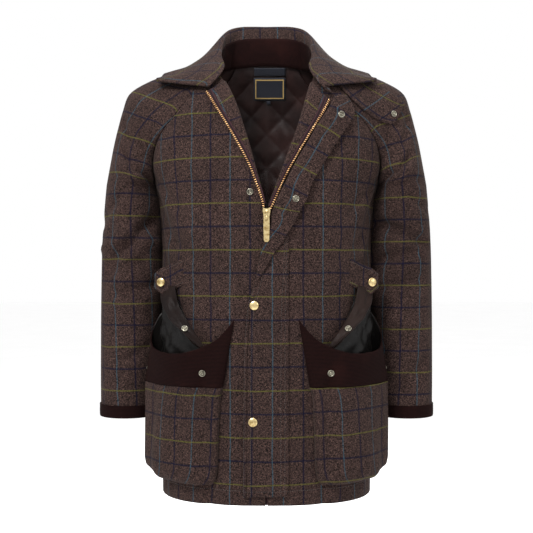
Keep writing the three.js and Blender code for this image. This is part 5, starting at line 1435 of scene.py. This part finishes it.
CAP_ON_TAB = (0.755, -410.6)  # along the tab, and its height
snap("cap_upper", at_front(-20, -448, 4.9), LEFT, CAP_PROFILE, BRASS)
snap("cap_lower", at_front(-22, -638, 4.9), LEFT, CAP_PROFILE, BRASS)
snap("front_stud", at_front(27, -261, 0.5, RIGHT), RIGHT, RING_PROFILE, NICKEL)
snap("flap_socket_lower", at_front(47, -273, 8.8), LEFT, RING_PROFILE, NICKEL)
snap("flap_socket_upper", at_front(122, -132, 8.8), LEFT, RING_PROFILE, NICKEL)
snap("throat_socket", lambda dx, dz: laid(218.0 + dx, -121.0 + dz, LEFT, 4.4), LEFT, RING_PROFILE,
     NICKEL)
for side, word in SIDES:

    def on_bag(u, z, off, side=side):
        def place(dx, dz):
            q = u + dx / 165
            v = (z + dz - BAND_Z) / (float(np.interp(u, BAG_U, MOUTH_Z)) - BAND_Z)
            deep = mix(np.interp(q, BAG_U, BAG_DEEP), np.interp(q, BAG_U, MOUTH_DEEP), smooth(v))
            return on_side(side, on_body(pocket_phi(q, z + dz), z + dz, deep + off))

        return place

    def on_flap(dx, dz, side=side):
        x, z, height = pocket_flap_point(np.array(2.9 - dz / 19), np.array(-0.5 + dx / 20), side, 2.8)
        return on_side(side, laid(x, z, side, height))

    def on_tab(dx, dz, side=side):
        along_tab, z = CAP_ON_TAB
        return on_side(side, tab_place(along_tab + dx / TAB_LONG, z + dz, 3.2, side))

    snap("pocket_stud_" + word, on_bag(0.2, -559, 0.5), side, RING_PROFILE, NICKEL)
    snap("pocket_side_stud_" + word, on_bag(0.94, -559, 1.2), side, TINY_PROFILE, NICKEL)
    snap("pocket_flap_socket_" + word, on_flap, side, RING_PROFILE, NICKEL)
    snap("tab_cap_" + word, on_tab, side, CAP_PROFILE, BRASS)

for node in ("zip_slider", "zip_pull"):
    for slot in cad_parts[node].material_slots:
        slot.material = BRASS
print("metal pieces placed")

# %% [markdown]
# ## Stitching
# Topstitching runs a few millimetres inside the edges of the collar, flap, tabs and pockets. A
# stitch is 2.7 mm of thread and then a gap where it dives into the cloth.


# %% Topstitching
STITCH_PITCH, STITCH = 3.6, (2.7, 0.75, 0.6)


def stitch(name, lines):
    """One piece of thread for a set of lines, each with its direction off the cloth"""
    places, ahead, out = [], [], []
    for line, up in lines:
        p, a = spaced(line, STITCH_PITCH, 1.2)
        nearest = [int(np.argmin(np.linalg.norm(line - q, axis=-1))) for q in p]
        places.append(p + up[nearest] * 0.15)
        ahead.append(a)
        out.append(up[nearest])
    places, ahead, out = (np.concatenate(x) for x in (places, ahead, out))
    repeat_along(name, STITCH_TREE, places, ahead, out, STITCH, BROWN_THREAD, seed=3)
    return len(places)


def beside(grid, axis, index, side=1, off=0.0):
    out = normals(grid) * side
    line, up = (x[index] if axis == 0 else x[:, index] for x in (grid, out))
    return line + up * off, up


OVER = 1.3  # from the middle of a doubled piece to just above its face
lines = [beside(collar_grid, 1, -4, 1, OVER)] + [beside(collar_grid, 0, k, 1, OVER) for k in (2, -3)]
count = stitch("collar_stitches", lines)
lines = [beside(flap_grid, 1, k, -1, OVER) for k in (2, 4, 19, 41)]
count += stitch("flap_stitches", lines + [beside(flap_grid, 0, 2, -1, OVER)])
for side, word in SIDES:
    lines = [beside(tabs[side], 1, k, -side, OVER) for k in (2, -3)]
    count += stitch("waist_tab_stitches_" + word, lines + [beside(tabs[side], 0, -3, -side, OVER)])
    hem = on_side(side, fronts[side][0])
    count += stitch("hem_stitches_" + word, [beside(hem, 0, 5, side, 0.2)])
lines = [beside(throat, 1, k, 1, OVER) for k in (2, -3)] + [beside(throat, 0, -3, 1, OVER)]
count += stitch("throat_stitches", lines)
print("stitches:", count)

# %% [markdown]
# A small worked buttonhole lies across the right facing near its top: a slit between two rows of
# close stitches. A tiny bare size tag hangs below the main label.

# %% Buttonhole and size tag
HOLE_X, HOLE_Z = 79.5, -104.5
slit = np.linspace(-5.5, 5.5, 15)
hole = on_side(RIGHT, on_front(HOLE_X + slit * 0.45, HOLE_Z + slit, 4.3))
step = np.gradient(hole, axis=0)
out = body_normal(angle_at(HOLE_X, HOLE_Z), HOLE_Z) * np.array([RIGHT, 1, 1])
out = np.tile(out, (len(hole), 1))
lips = unit(np.cross(out, step))
both = np.concatenate([hole + lips * 1.0, hole - lips * 1.0])
repeat_along("buttonhole_stitches", STITCH_TREE, both, np.tile(lips, (2, 1)), np.tile(out, (2, 1)),
             (1.9, 0.75, 0.8), TAN_THREAD, seed=5)
TAG_FOOT, TAG_TOP, TAG_WIDE = -71, -65, 8
z, x = np.linspace(TAG_FOOT, TAG_TOP, 4)[:, None], np.linspace(0, TAG_WIDE, 5)[None, :]
tag = grid_mesh("size_tag", on_body(angle_at(x + 0.001, z, True), z + 0 * x, -CLOTH - 7.6),
                x + 0 * z, z - TAG_FOOT + 0 * x, False)
piece = show("size_tag", tag, [UPPER_LABEL])
thicken(piece, 0.8)
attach(piece, "jacket")

# %% [markdown]
# ## Floor
# The photograph shows no floor, so a pale one lies below the hem and fades into the white.

# %% Floor
paper = Finish("studio_paper")
paper.paint(paper.mix(paper.noise(3, 2.0), hex_colour("fafafa"), hex_colour("ffffff")))
paper.set(Roughness=0.9)
ground = bpy.data.meshes.new("floor")
FLOOR_Z = -1.15  # metres, well below the hem
corners = [(-12, -6, FLOOR_Z), (12, -6, FLOOR_Z), (12, 18, FLOOR_Z), (-12, 18, FLOOR_Z)]
ground.from_pydata(corners, [], [(0, 1, 2, 3)])
floor = show("floor", ground, [paper.material])

# %% Sizes and finish
bpy.context.view_layer.update()
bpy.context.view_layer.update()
for name, (wide, long, area) in tally.items():
    print(f"{name}: cut {wide} x {long} mm, {area} square metres")
